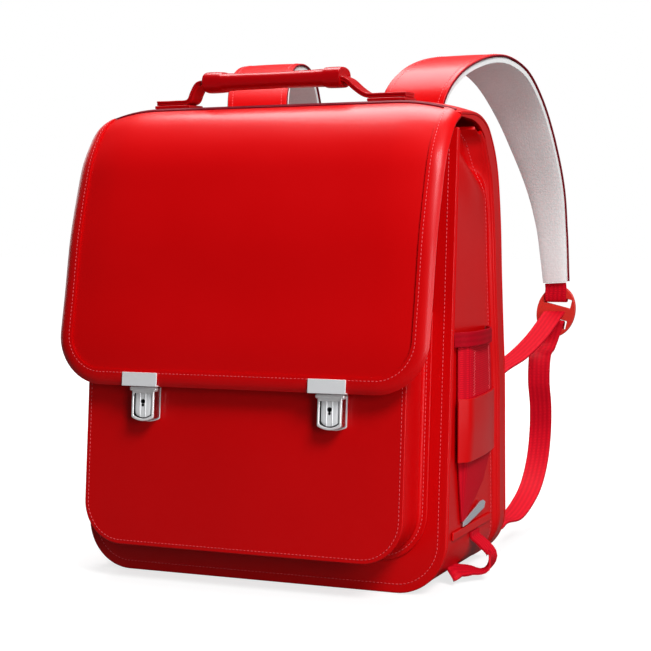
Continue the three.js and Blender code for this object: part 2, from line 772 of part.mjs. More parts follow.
function ovalShape(length, span, slots) {
  const shape = new THREE.Shape();
  shape.absellipse(0, 0, span / 2, length / 2, 0, 2 * Math.PI);
  for (const centre of slots) {
    const hole = new THREE.Path();
    hole.moveTo(-slotLength / 2, centre - slotHeight / 2);
    hole.lineTo(-slotLength / 2, centre + slotHeight / 2);
    hole.lineTo(slotLength / 2, centre + slotHeight / 2);
    hole.lineTo(slotLength / 2, centre - slotHeight / 2);
    hole.closePath();
    shape.holes.push(hole);
  }
  return shape;
}

function buildSlider(sideName, side) {
  const frame = sliderFrame(side);
  const shape = ovalShape(sliderLength, sliderWidth, [slotCentre, -slotCentre]);
  const geometry = new THREE.ExtrudeGeometry(shape, { depth: sliderThickness, bevelEnabled: false, curveSegments: 24 });
  geometry.translate(0, 0, -sliderThickness / 2);
  const axes = new THREE.Matrix4().makeBasis(frame.across, frame.up, frame.across.clone().cross(frame.up));
  geometry.applyMatrix4(axes.setPosition(frame.middle));
  addPiece(`slider_${sideName}`, geometry, redPlastic);
}

// The short webbing sewn into the strap's end, folded through the slider's upper slot.
function buildStrapTab(sideName, side) {
  const frame = sliderFrame(side);
  const stand = webbingStand;
  const turn = slotCentre * Math.cos(sliderTilt) - clearance;
  const below = (rise, out) => point(end.x, frame.middle.y - out, frame.middle.z + rise);
  const [last, end] = smoothPath(strapLine(side), 2).slice(-2);
  const onward = end.clone().sub(last).normalize();
  const line = [
    end.clone().addScaledVector(onward, 3 * clearance),
    end.clone().addScaledVector(onward, 3 * clearance + 1.5 * webbingThickness),
    end.clone().addScaledVector(onward, 3 * clearance + 3 * webbingThickness),
    below(turn + 3 * webbingThickness, stand),
    below(turn + 0.4 * webbingThickness, stand * 0.75),
    below(turn, 0),
    below(turn + 0.4 * webbingThickness, -stand * 0.75),
    below(turn + 3 * webbingThickness, -stand),
    below(sliderLength / 2 - 2 * webbingThickness, -stand),
  ];
  addPiece(`strap_tab_${sideName}`, strapAlong(smoothPath(line, 2), {
    widths: webbingWidth, thickness: webbingThickness, across: point(side, 0, 0), columns: 2,
  }), redWebbing);
}

// The slack webbing from the lower tab up to the slider: shares of the spread, the reach and
// the height. Its run goes on through the lower slot to the free end that leans on the back.
const slackRows = [
  { out: 1.040, back: 0.120, up: 0.0600 },
  { out: 1.030, back: 0.310, up: 0.0480 },
  { out: 1.020, back: 0.470, up: 0.0620 },
  { out: 1.010, back: 0.620, up: 0.0950 },
  { out: 1.005, back: 0.715, up: 0.1500 },
  { out: 1.000, back: 0.765, up: 0.2150 },
  { out: 1.000, back: 0.770, up: 0.2800 },
  { out: 0.990, back: 0.765, up: 0.3400 },
  { out: 0.980, back: 0.800, up: 0.4000 },
];
const tailRows = [
  { out: 1.010, back: 0.700, up: 0.4550 },
  { out: 1.025, back: 0.400, up: 0.4220 },
  { out: 1.035, back: 0.110, up: 0.4050 },
];

function buildWebbing(sideName, side) {
  const frame = sliderFrame(side);
  const place = (row) => point(side * row.out * strapSpread, backY + row.back * strapReach, row.up * height);
  const stand = webbingStand;
  const turn = -slotCentre + slotHeight / 2 - clearance - webbingThickness;
  const lowerTab = point(side * 1.045 * strapSpread, backY + clearance + lowerTabThickness
    + 2 * clearance + webbingThickness / 2, 0.085 * height);
  const tailX = 1.035 * strapSpread;
  const restLine = backLine(tailX - webbingWidth / 2, clearance + webbingThickness / 2, 'outer');
  const rest = (up, off) => point(side * tailX, readLine(restLine, up * height) + off, up * height);
  const line = [
    lowerTab.clone().add(point(0, 0, lowerTabLength / 3)),
    lowerTab,
    lowerTab.clone().add(point(0, webbingThickness / 3, -webbingWidth / 4)),
    lowerTab.clone().add(point(0, 3 * webbingThickness, -webbingWidth / 2)),
    ...slackRows.map(place),
    onSlider(frame, -sliderLength / 2 - slotHeight, stand + slackStandOff),
    onSlider(frame, -slotCentre - 3 * webbingThickness, stand),
    onSlider(frame, turn - webbingThickness / 2, stand * 0.8),
    onSlider(frame, turn + webbingThickness / 4, 0),
    onSlider(frame, turn - webbingThickness / 2, -stand * 0.8),
    onSlider(frame, -slotCentre - 3 * webbingThickness, -stand - 3 * clearance),
  ];
  const path = smoothPath(line, 3);
  const straight = point(side, 0, 0);
  const across = (i) => straight.clone().lerp(frame.across, smoothStep(2 * i / path.length - 1)).normalize();
  addPiece(`webbing_${sideName}`, strapAlong(path, {
    widths: webbingWidth, thickness: webbingThickness, across, columns: 2,
  }), redWebbing);
  const tail = [
    onSlider(frame, 0, stand + tailStandOff),
    ...tailRows.map(place),
    rest(0.390, 2.5 * webbingThickness),
    rest(0.375, 2 * clearance),
    rest(0.355, 0),
    rest(0.330, 0),
  ];
  addPiece(`webbing_tail_${sideName}`, strapAlong(smoothPath(tail, 3), {
    widths: webbingWidth, thickness: webbingThickness, across: straight, columns: 2,
  }), redWebbing);
}

function buildLowerTab(sideName, side) {
  const half = webbingWidth / 2 + lowerTabMargin;
  const x = side * 1.045 * strapSpread;
  const foot = 0.085 * height - 2 * lowerTabMargin;
  const tab = new THREE.BoxGeometry(2 * half, lowerTabThickness, lowerTabLength);
  tab.translate(x, backY + clearance + lowerTabThickness / 2, foot + lowerTabLength / 2);
  addPiece(`lower_tab_${sideName}`, tab, redLeather);
}

function buildShoulderStraps() {
  for (const [sideName, side] of [['left', -1], ['right', 1]]) {
    const path = smoothPath(strapLine(side), 2);
    const common = { across: point(1, 0, 0) };
    const shellOffset = strapStack / 2 - strapShell / 2;
    const padOffset = strapPad / 2 - strapStack / 2;
    addPiece(`strap_${sideName}`, strapAlong(path, {
      ...common, widths: widthAlong(strapRows, strapWidth), thickness: strapShell, offset: shellOffset,
    }), redLeather);
    const liningShare = (strapWidth - 2 * liningInset) / strapWidth;
    addPiece(`strap_lining_${sideName}`, strapAlong(path, {
      ...common, widths: (share) => widthAlong(strapRows, strapWidth)(share) * liningShare,
      thickness: strapPad, offset: padOffset, crown: 0.45, columns: 5,
    }), greyMesh);
    buildStrapTab(sideName, side);
    buildSlider(sideName, side);
    buildWebbing(sideName, side);
    buildLowerTab(sideName, side);
  }
  const rootZ = strapRows[0].up * height + clearance + anchorHeight / 2;
  const patch = new THREE.BoxGeometry(anchorWidth, anchorThickness, anchorHeight);
  const y = strapRootY + 2 * clearance + strapStack + anchorThickness / 2;
  patch.translate(0, y, rootZ);
  addPiece('strap_anchor', patch, redLeather);
}

// Side holder pieces on each gusset: their edges as shares of the way across the gusset
// from its front edge, at shares of the height.
const slingRows = [
  { up: 0.4940, front: 0.490, back: 0.975 },
  { up: 0.3889, front: 0.475, back: 0.975 },
  { up: 0.2583, front: 0.436, back: 0.975 },
  { up: 0.1944, front: 0.344, back: 0.850 },
  { up: 0.1333, front: 0.272, back: 0.374 },
];
const sleeveRows = [
  { up: 0.3889, front: 0.400, back: 0.980 },
  { up: 0.2583, front: 0.410, back: 0.980 },
];
const reflectorRows = [
  { up: 0.1520, front: 0.700, back: 0.800 },
  { up: 0.1200, front: 0.350, back: 0.500 },
];
const stripRows = [
  { up: 0.1140, front: 0.170, back: 0.900 },
  { up: 0.0945, front: 0.170, back: 0.900 },
];
const reflectorThickness = 0.8;
// The mouth band: shares across the gusset, and of its bulge.
const bandRows = [
  { across: 0.180, out: 0.00 }, { across: 0.235, out: 0.12 }, { across: 0.310, out: 0.70 },
  { across: 0.480, out: 1.00 }, { across: 0.650, out: 0.70 }, { across: 0.725, out: 0.12 },
  { across: 0.780, out: 0.00 },
];

function acrossGusset(share, z) {
  return THREE.MathUtils.lerp(gussetFront(z), gussetBack(z), share);
}

// A flat piece on the side of the case between two edge lines, `rise` off the gusset.
function sidePiece(side, rows, rise, thickness) {
  const layer = (out) => rows.map((row) => [row.front, row.back].map(
    (share) => point(side * (gussetHalf + out), acrossGusset(share, row.up * height), row.up * height)));
  return wall(layer(rise + thickness), layer(rise));
}

// The hanging loop goes from under the strip, out and round, to the lower corner of the case.
function buildSideLoop(sideName, side, top) {
  const lift = clearance + webbingThickness / 2;
  const seat = gussetHalf + lift;
  const radius = cornerRadius - flange;
  const endAngle = -0.70;
  const endX = gussetHalf - radius + (radius + lift) * Math.cos(endAngle);
  const endZ = radius + (radius + lift) * Math.sin(endAngle);
  const rows = [
    { across: 0.570, x: seat, z: top - 2 * clearance }, { across: 0.572, x: seat + 0.3, z: 0.86 * top },
    { across: 0.580, x: seat + 0.45 * sideLoopBulge, z: 0.72 * top },
    { across: 0.600, x: seat + sideLoopBulge, z: 0.45 * top },
    { across: 0.540, x: seat + 0.75 * sideLoopBulge, z: 0.20 * top },
    { across: 0.440, x: endX + 0.55 * sideLoopBulge, z: endZ - 0.10 * top },
    { across: 0.340, x: endX + 1, z: endZ - 1 }, { across: 0.260, x: endX, z: endZ },
  ];
  const line = rows.map((row) => point(side * row.x, acrossGusset(row.across, row.z), row.z));
  const path = smoothPath(line, 2);
  const start = point(0, 1, 0);
  const end = point(side * Math.sin(endAngle), 0, -Math.cos(endAngle));
  const across = (i) => start.clone().lerp(end, smoothStep(i / path.length)).normalize();
  addPiece(`side_loop_${sideName}`, strapAlong(path, {
    widths: 0.8 * webbingWidth, thickness: webbingThickness, across, columns: 2,
  }), redWebbing);
}

function buildSideHolders() {
  for (const [sideName, side] of [['left', -1], ['right', 1]]) {
    const overSling = 2 * clearance + webbingThickness;
    addPiece(`side_sling_${sideName}`, sidePiece(side, slingRows, clearance, webbingThickness), redWebbing);
    addPiece(`side_sleeve_${sideName}`, sidePiece(side, sleeveRows, overSling, sleeveThickness), redLeather);
    addPiece(`side_reflector_${sideName}`, sidePiece(side, reflectorRows, clearance, reflectorThickness), reflective);
    addPiece(`side_strip_${sideName}`, sidePiece(side, stripRows, clearance, leather), redLeather);

    const seat = gussetHalf + clearance + webbingThickness / 2;
    const bandZ = slingRows[0].up * height + clearance + holderBandHeight / 2;
    const bandLine = bandRows.map((row) => point(side * (seat + row.out * holderBulge),
      acrossGusset(row.across, bandZ), bandZ));
    addPiece(`bottle_band_${sideName}`, strapAlong(smoothPath(bandLine, 2), {
      widths: holderBandHeight, thickness: webbingThickness, across: point(0, 0, 1), columns: 2,
    }), redWebbing);
    buildSideLoop(sideName, side, stripRows[1].up * height - clearance);
  }
}

buildFlap();
buildBack();
buildBinding();
buildSeamStrip();
buildCase();
buildPocket();
buildLocks();
buildHandle();
buildShoulderStraps();
buildSideHolders();

export default ransel;
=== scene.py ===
# School backpack with a short flap, front pocket, push locks, top handle and padded straps.
# Lengths below are in millimetres; every mesh is laid in metres, in the frame of the CAD part.
from bisect import bisect_left
from math import atan, copysign, cos, exp, pi, radians, sin

import bmesh
import bpy
from mathutils import Matrix, Vector


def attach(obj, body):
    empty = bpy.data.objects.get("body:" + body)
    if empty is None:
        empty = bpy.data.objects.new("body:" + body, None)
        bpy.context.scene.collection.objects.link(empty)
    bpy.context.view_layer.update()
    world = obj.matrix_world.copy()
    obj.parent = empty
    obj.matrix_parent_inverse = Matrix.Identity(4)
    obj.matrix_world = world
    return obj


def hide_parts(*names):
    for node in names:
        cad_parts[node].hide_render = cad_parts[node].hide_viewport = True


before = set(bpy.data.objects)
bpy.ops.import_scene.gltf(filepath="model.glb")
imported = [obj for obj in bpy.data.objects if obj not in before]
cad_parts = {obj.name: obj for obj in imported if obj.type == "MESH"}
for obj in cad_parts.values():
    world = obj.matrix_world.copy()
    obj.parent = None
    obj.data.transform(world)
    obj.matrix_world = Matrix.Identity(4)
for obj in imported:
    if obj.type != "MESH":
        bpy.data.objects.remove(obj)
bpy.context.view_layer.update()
mm = 0.001


# Small helpers for places and curves

def spot(x, y, z):
    return Vector((x, y, z))


def mix(start, end, share):
    return start + (end - start) * share


def ease(value):
    share = min(max(value, 0), 1)
    return share * share * (3 - 2 * share)


# Places from stretch to stretch, with so many even steps in each
def stretches(places, counts):
    row = [places[0]]
    for start, end, count in zip(places, places[1:], counts):
        row += [mix(start, end, (i + 1) / count) for i in range(count)]
    return row


# A smooth curve through points; even=True ignores how far apart they are
def curveThrough(points, steps, even=False):
    last = len(points) - 1
    line = []
    for i in range(last):
        b, c = points[i], points[i + 1]
        a = points[i - 1] if i > 0 else 2 * b - c
        d = points[i + 2] if i + 2 <= last else 2 * c - b
        if even:
            leave, arrive = (c - a) / 2, (d - b) / 2
        else:
            first, middle, final = [max((q - p).length, 1e-4) ** 0.5 for p, q in ((a, b), (b, c), (c, d))]
            leave = middle * ((b - a) / first - (c - a) / (first + middle) + (c - b) / middle)
            arrive = middle * ((c - b) / middle - (d - b) / (middle + final) + (d - c) / final)
        for j in range(steps):
            t = j / steps
            line.append((2 * t**3 - 3 * t**2 + 1) * b + (t**3 - 2 * t**2 + t) * leave
                        + (3 * t**2 - 2 * t**3) * c + (t**3 - t**2) * arrive)
    line.append(points[-1].copy())
    return line


# Small helpers for Blender objects

def deselectAll():
    if bpy.context.object and bpy.context.object.mode != "OBJECT":
        bpy.ops.object.mode_set(mode="OBJECT")
    bpy.ops.object.select_all(action="DESELECT")


def choose(*pieces):
    deselectAll()
    for piece in pieces:
        piece.select_set(True)
    bpy.context.view_layer.objects.active = pieces[0]


def editAll(piece):
    choose(piece)
    bpy.ops.object.mode_set(mode="EDIT")
    bpy.ops.mesh.select_all(action="SELECT")


def flipFaces(piece):
    editAll(piece)
    bpy.ops.mesh.flip_normals()
    bpy.ops.object.mode_set(mode="OBJECT")


def faceOutwards(piece):
    editAll(piece)
    bpy.ops.mesh.normals_make_consistent(inside=False)
    bpy.ops.object.mode_set(mode="OBJECT")


def applyModifiers(piece):
    choose(piece)
    for modifier in list(piece.modifiers):
        bpy.ops.object.modifier_apply(modifier=modifier.name)


# A flat grid is added, then each of its points is laid at place(column, row)
def layGrid(name, columns, rows, place, facing):
    deselectAll()
    across, along = len(columns) - 1, len(rows) - 1
    bpy.ops.mesh.primitive_grid_add(x_subdivisions=across, y_subdivisions=along, size=2)
    piece = bpy.context.object
    piece.name = piece.data.name = name
    for corner in piece.data.vertices:
        column = columns[round((corner.co.x + 1) / 2 * across)]
        row = rows[round((corner.co.y + 1) / 2 * along)]
        corner.co = mm * place(column, row)
    piece.data.update()
    middle = piece.data.polygons[across * (along // 2) + across // 2]
    if middle.normal.dot(Vector(facing)) < 0:
        flipFaces(piece)
    return piece


# The grid's flat map is stretched to real lengths, in metres, for weaves
def scaleMap(piece, width, length):
    for corner in piece.data.uv_layers.active.data:
        corner.uv = (corner.uv[0] * width * mm, corner.uv[1] * length * mm)


def softenEdges(piece, size, segments=2, angle=40):
    bevel = piece.modifiers.new("edge", "BEVEL")
    bevel.width = size * mm
    bevel.segments = segments
    bevel.limit_method = "ANGLE"
    bevel.angle_limit = radians(angle)
    even = piece.modifiers.new("evenShading", "WEIGHTED_NORMAL")
    even.keep_sharp = True
    applyModifiers(piece)


def shadeSmooth(piece, angle=50):
    choose(piece)
    bpy.ops.object.shade_smooth_by_angle(angle=radians(angle))


# Gives a laid sheet its thickness, inwards from the laid face
def thicken(piece, thickness, edge=0.5, rim=0, side=-1, segments=2, even=True):
    wall = piece.modifiers.new("wall", "SOLIDIFY")
    wall.thickness = thickness * mm
    wall.offset = side
    wall.use_even_offset = even
    wall.use_quality_normals = True
    wall.material_offset_rim = rim
    applyModifiers(piece)
    shadeSmooth(piece)
    softenEdges(piece, edge, segments)
    return piece


# Two laid faces joined round their edge into one closed wall
def layWall(name, columns, rows, outer, inner, facing, edge=1.0, rim=0, segments=3):
    front = layGrid(name, columns, rows, outer, facing)
    back = layGrid(name + "Inner", columns, rows, inner, -Vector(facing))
    choose(front, back)
    bpy.ops.object.join()
    count = len(front.data.polygons)
    bpy.ops.object.mode_set(mode="EDIT")
    bpy.ops.mesh.select_mode(type="EDGE")
    bpy.ops.mesh.select_all(action="DESELECT")
    bpy.ops.mesh.select_non_manifold()
    bpy.ops.mesh.bridge_edge_loops()
    bpy.ops.object.mode_set(mode="OBJECT")
    for face in front.data.polygons[count:]:
        face.material_index = rim
    faceOutwards(front)
    shadeSmooth(front)
    softenEdges(front, edge, segments)
    return front


# A solid drawn over closed rings of points, its two ends filled
def drawRings(name, rings, edge=0):
    sides = len(rings[0])

    def place(side, ring):
        return rings[ring][side % sides]

    piece = layGrid(name, range(sides + 1), range(len(rings)), place, (0, 0, 1))
    editAll(piece)
    bpy.ops.mesh.remove_doubles(threshold=1e-6)
    bpy.ops.mesh.fill_holes(sides=0)
    faceOutwards(piece)
    shadeSmooth(piece)
    if edge:
        softenEdges(piece, edge)
    return piece


# A round bead along a line of places; outward gives the way that its first side faces
def drawBead(name, line, radius, outward, sides=10):
    rings = []
    for i, centre in enumerate(line):
        along = line[min(i + 1, len(line) - 1)] - line[max(i - 1, 0)]
        out = outward(i) - along * outward(i).dot(along) / along.length_squared
        out.normalize()
        side = along.normalized().cross(out)
        angles = [2 * pi * j / sides for j in range(sides)]
        rings.append([centre + radius * (cos(angle) * out + sin(angle) * side) for angle in angles])
    return drawRings(name, rings)


def copyPiece(piece, name):
    copied = bpy.data.objects.new(name, piece.data.copy())
    copied.data.name = name
    bpy.context.scene.collection.objects.link(copied)
    return copied


# A copy of a CAD node, merged and with its edges rounded
def copyNode(node, name, edge):
    piece = copyPiece(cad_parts[node], name)
    editAll(piece)
    bpy.ops.mesh.remove_doubles(threshold=2e-6)
    bpy.ops.mesh.dissolve_limited(angle_limit=radians(4))
    bpy.ops.object.mode_set(mode="OBJECT")
    shadeSmooth(piece)
    softenEdges(piece, edge, segments=3)
    return piece


def paint(piece, *materials):
    piece.data.materials.clear()
    for material in materials:
        piece.data.materials.append(material)
    return piece


def belong(piece, slot, *nodes, body="bag"):
    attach(piece, body)
    if nodes:
        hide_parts(*nodes)
    return piece


def dress(piece, material, slot, *nodes, body="bag"):
    return belong(paint(piece, material), slot, *nodes, body=body)


# A CAD node's own shape, rounded and finished
def roundNode(node, name, edge, material, slot):
    return dress(copyNode(node, name, edge), material, slot, node)


# Camera, at the photograph's viewing angle

view = {"place": (548.5, -1177.3, 288.4), "yaw": 0.41782, "pitch": 0.07707, "roll": -0.01182, "lens": 91.18}


def placeCamera():
    yaw, pitch, roll = view["yaw"], view["pitch"], view["roll"]
    ahead = spot(-sin(yaw) * cos(pitch), cos(yaw) * cos(pitch), -sin(pitch))
    right = spot(cos(yaw), sin(yaw), 0)
    up = right.cross(ahead)
    tiltedRight = cos(roll) * right + sin(roll) * up
    tiltedUp = cos(roll) * up - sin(roll) * right
    lens = bpy.data.cameras.new("camera")
    lens.lens = view["lens"]
    lens.sensor_width = 36
    lens.clip_end = 50
    camera = bpy.data.objects.new("camera", lens)
    turn = Matrix((tiltedRight, tiltedUp, -ahead)).transposed()
    camera.matrix_world = Matrix.Translation(mm * Vector(view["place"])) @ turn.to_4x4()
    bpy.context.scene.collection.objects.link(camera)
    bpy.context.scene.camera = camera


placeCamera()
print("camera placed")


# Finishes

def startMaterial(name):
    material = bpy.data.materials.new(name)
    material.use_nodes = True
    tree = material.node_tree
    return material, tree, tree.nodes["Principled BSDF"], tree.nodes.new("ShaderNodeTexCoord")


def addNode(tree, kind, sockets=None, **settings):
    node = tree.nodes.new("ShaderNode" + kind)
    for key, value in settings.items():
        setattr(node, key, value)
    setSockets(node, sockets or {})
    return node


def setSockets(node, values):
    for key, value in values.items():
        node.inputs[key].default_value = value


def join(tree, start, startSocket, end, endSocket):
    tree.links.new(start.outputs[startSocket], end.inputs[endSocket])


# A texture on the piece's own coordinates
def addTexture(tree, place, kind, sockets, space="Object", **settings):
    texture = addNode(tree, "Tex" + kind, sockets, **settings)
    join(tree, place, space, texture, "Vector")
    return texture


# Base colour that runs from one tone to the other with a texture
def addTint(tree, shader, texture, output, low, high):
    tint = addNode(tree, "Mix", data_type="RGBA")
    tint.inputs[6].default_value = low
    tint.inputs[7].default_value = high
    join(tree, texture, output, tint, 0)
    join(tree, tint, 2, shader, "Base Color")


def addGloss(tree, shader, texture, low, high, **span):
    gloss = addNode(tree, "MapRange", {"To Min": low, "To Max": high})
    if span:
        setSockets(gloss, {"From Min": span["start"], "From Max": span["end"]})
    join(tree, texture, "Fac", gloss, "Value")
    join(tree, gloss, "Result", shader, "Roughness")


# Fine pattern as height over a broad one; both heights are in millimetres
def addRelief(tree, shader, fine, fineHeight, broad=None, broadHeight=0.5):
    relief = addNode(tree, "Bump", {"Strength": 1.0, "Distance": fineHeight * mm})
    join(tree, fine[0], fine[1], relief, "Height")
    join(tree, relief, "Normal", shader, "Normal")
    if broad:
        swell = addNode(tree, "Bump", {"Strength": 1.0, "Distance": broadHeight * mm})
        join(tree, broad[0], broad[1], swell, "Height")
        join(tree, swell, "Normal", relief, "Normal")


leatherLook = {
    "colour": (0.62, 0.0006, 0.0016, 1), "deep": (0.55, 0.0004, 0.0010, 1),
    "glossLow": 0.31, "glossHigh": 0.37, "grainScale": 1300, "grainHeight": 0.010,
    "swellScale": 16, "swellHeight": 0.35,
    "specular": 0.26, "specularTint": (1, 0.62, 0.68, 1), "coat": 0.08, "coatRoughness": 0.13,
}
handleTones = {"colour": (0.46, 0.0006, 0.0030, 1), "deep": (0.38, 0.0004, 0.0020, 1)}


def makeLeather(name, look):
    material, tree, shader, place = startMaterial(name)
    clouds = addTexture(tree, place, "Noise", {"Scale": 11, "Detail": 3, "Roughness": 0.5})
    grain = addTexture(tree, place, "Voronoi", {"Scale": look["grainScale"]}, feature="SMOOTH_F1")
    swell = addTexture(tree, place, "Noise", {"Scale": look["swellScale"], "Detail": 1, "Roughness": 0.4})
    addTint(tree, shader, clouds, "Fac", look["deep"], look["colour"])
    addGloss(tree, shader, clouds, look["glossLow"], look["glossHigh"], start=0.3, end=0.7)
    addRelief(tree, shader, (grain, "Distance"), look["grainHeight"], (swell, "Fac"), look["swellHeight"])
    setSockets(shader, {"Coat Weight": look["coat"], "Coat Roughness": look["coatRoughness"],
                        "Specular IOR Level": look["specular"], "Specular Tint": look["specularTint"]})
    return material


edgeLook = {"colour": (0.11, 0.004, 0.010, 1), "light": (0.21, 0.008, 0.018, 1), "roughness": 0.5, "specular": 0.08}


def makeEdgePaint(name, look):
    material, tree, shader, place = startMaterial(name)
    streaks = addTexture(tree, place, "Noise", {"Scale": 260, "Detail": 3})
    addTint(tree, shader, streaks, "Fac", look["colour"], look["light"])
    addRelief(tree, shader, (streaks, "Fac"), 0.05)
    setSockets(shader, {"Roughness": look["roughness"], "Specular IOR Level": look["specular"]})
    return material


# rib and cross are the weave's repeats across and along, in millimetres
webbingLook = {"colour": (0.74, 0.004, 0.018, 1), "deep": (0.50, 0.002, 0.012, 1), "rib": 2.0, "cross": 0.55,
               "height": 0.05, "roughness": 0.6, "specular": 0.08, "sheen": 0.02}
# Darker tones of the webbing for the bottle band, as painted shade
bandShadeTones = {"colour": (0.46, 0.001, 0.012, 1), "deep": (0.33, 0.001, 0.008, 1)}


def makeWebbing(name, look):
    material, tree, shader, place = startMaterial(name)
    weave = addNode(tree, "Math", operation="MULTIPLY")
    for socket, repeat, way in ((0, look["rib"], "X"), (1, look["cross"], "Y")):
        wave = addTexture(tree, place, "Wave", {"Scale": pi / (20 * repeat * mm), "Distortion": 0.4, "Detail": 1},
                          space="UV", wave_type="BANDS", bands_direction=way)
        join(tree, wave, "Fac", weave, socket)
    addTint(tree, shader, weave, "Value", look["deep"], look["colour"])
    addRelief(tree, shader, (weave, "Value"), look["height"])
    setSockets(shader, {"Roughness": look["roughness"], "Specular IOR Level": look["specular"],
                        "Sheen Weight": look["sheen"], "Sheen Roughness": 0.4, "Sheen Tint": (0.9, 0.1, 0.15, 1)})
    return material


plasticLook = {"colour": (0.68, 0.03, 0.02, 1), "glossLow": 0.34, "glossHigh": 0.5,
               "glow": 0.08, "glowReach": (0.002, 0.0006, 0.0004)}


def makePlastic(name, look):
    material, tree, shader, place = startMaterial(name)
    matt = addTexture(tree, place, "Noise", {"Scale": 900, "Detail": 2})
    addGloss(tree, shader, matt, look["glossLow"], look["glossHigh"])
    addRelief(tree, shader, (matt, "Fac"), 0.03)
    setSockets(shader, {"Base Color": look["colour"], "Subsurface Weight": look["glow"],
                        "Subsurface Radius": look["glowReach"]})
    return material


feltLook = {"colour": (0.85, 0.87, 0.87, 1), "deep": (0.76, 0.775, 0.775, 1), "cell": 2.2, "cellHeight": 0.10,
            "fluffHeight": 0.2}


def makeFelt(name, look):
    material, tree, shader, place = startMaterial(name)
    cells = addTexture(tree, place, "Voronoi", {"Scale": 1000 / look["cell"], "Randomness": 0.55}, feature="F1")
    fluff = addTexture(tree, place, "Noise", {"Scale": 420, "Detail": 4, "Roughness": 0.7})
    spread = addNode(tree, "MapRange", {"From Min": 0.2, "From Max": 0.7})
    join(tree, fluff, "Fac", spread, "Value")
    addTint(tree, shader, spread, "Result", look["deep"], look["colour"])
    addRelief(tree, shader, (cells, "Distance"), look["cellHeight"], (fluff, "Fac"), look["fluffHeight"])
    setSockets(shader, {"Roughness": 0.92, "Sheen Weight": 0.4, "Sheen Roughness": 0.5, "Specular IOR Level": 0.25})
    return material


metalLooks = {
    "satinMetal": {"colour": (0.90, 0.91, 0.93, 1), "metallic": 0.22, "gloss": (0.26, 0.38), "brush": (1, 1, 0.05)},
    "brightMetal": {"colour": (0.96, 0.95, 0.96, 1), "metallic": 0.35, "gloss": (0.10, 0.18), "brush": (1, 1, 1)},
    # The next two looks are painted shade: a darker copy of the case's metal for its side walls, and near black for
    # its inside and its keyholes
    "shadedLockWall": {"colour": (0.42, 0.38, 0.40, 1), "metallic": 1.0, "gloss": (0.16, 0.24), "brush": (1, 1, 1)},
    "lockShade": {"colour": (0.02, 0.02, 0.022, 1), "metallic": 0.3, "gloss": (0.4, 0.6), "brush": (1, 1, 1)},
}


def makeMetal(name):
    look = metalLooks[name]
    material, tree, shader, place = startMaterial(name)
    turn = addNode(tree, "Mapping", {"Scale": look["brush"]})
    join(tree, place, "Object", turn, "Vector")
    lines = addNode(tree, "TexNoise", {"Scale": 500, "Detail": 3})
    join(tree, turn, "Vector", lines, "Vector")
    addGloss(tree, shader, lines, *look["gloss"])
    addRelief(tree, shader, (lines, "Fac"), 0.002)
    setSockets(shader, {"Base Color": look["colour"], "Metallic": look["metallic"]})
    return material


reflectorLook = {"colour": (0.62, 0.63, 0.67, 1), "deep": (0.40, 0.41, 0.46, 1)}


def makeReflective(name, look):
    material, tree, shader, place = startMaterial(name)
    cells = addTexture(tree, place, "Voronoi", {"Scale": 520, "Randomness": 0.1}, feature="F1")
    addTint(tree, shader, cells, "Distance", look["colour"], look["deep"])
    addRelief(tree, shader, (cells, "Distance"), 0.05)
    setSockets(shader, {"Roughness": 0.3, "Metallic": 0.25, "Coat Weight": 0.4})
    return material


def makeThread(name, colour):
    material, tree, shader, place = startMaterial(name)
    twist = addTexture(tree, place, "Noise", {"Scale": 2500, "Detail": 2})
    addGloss(tree, shader, twist, 0.4, 0.6)
    addRelief(tree, shader, (twist, "Fac"), 0.05)
    setSockets(shader, {"Base Color": colour, "Specular IOR Level": 0.35})
    return material


redLeather = makeLeather("redLeather", leatherLook)
handleLeather = makeLeather("handleLeather", dict(leatherLook, **handleTones))
darkEdge = makeEdgePaint("darkEdge", edgeLook)
redWebbing = makeWebbing("redWebbing", webbingLook)
shadedWebbing = makeWebbing("shadedWebbing", dict(webbingLook, **bandShadeTones))
redPlastic = makePlastic("redPlastic", plasticLook)
greyFelt = makeFelt("greyFelt", feltLook)
satinMetal, brightMetal, shadedLockWall, lockShade = [makeMetal(name) for name in metalLooks]
reflectiveCloth = makeReflective("reflectiveCloth", reflectorLook)
redThread = makeThread("redThread", (0.82, 0.09, 0.11, 1))
print("finishes made")


# Body sizes

body = {"width": 300, "height": 360, "depth": 148, "lean": 0.105, "corner": 38, "leather": 2.5,
        "flange": 4, "piping": 2, "caseTop": 338.4, "gap": 0.3,
        "roll": 9, "flatShare": 0.667, "pad": 12}
pocket = {"width": 262, "depth": 39, "foot": 28, "corner": 32, "overhang": 2, "covered": 54, "flange": 5,
          "leather": 2.0, "crown": 1.6, "crownUp": 75, "crownReach": 105, "stitchInset": 3.2}
half = body["width"] / 2
frontY, backY = -body["depth"] / 2, body["depth"] / 2
frontInner = body["leather"] / cos(atan(body["lean"]))
pipingRoom = 2 * body["piping"] + 2 * body["gap"]

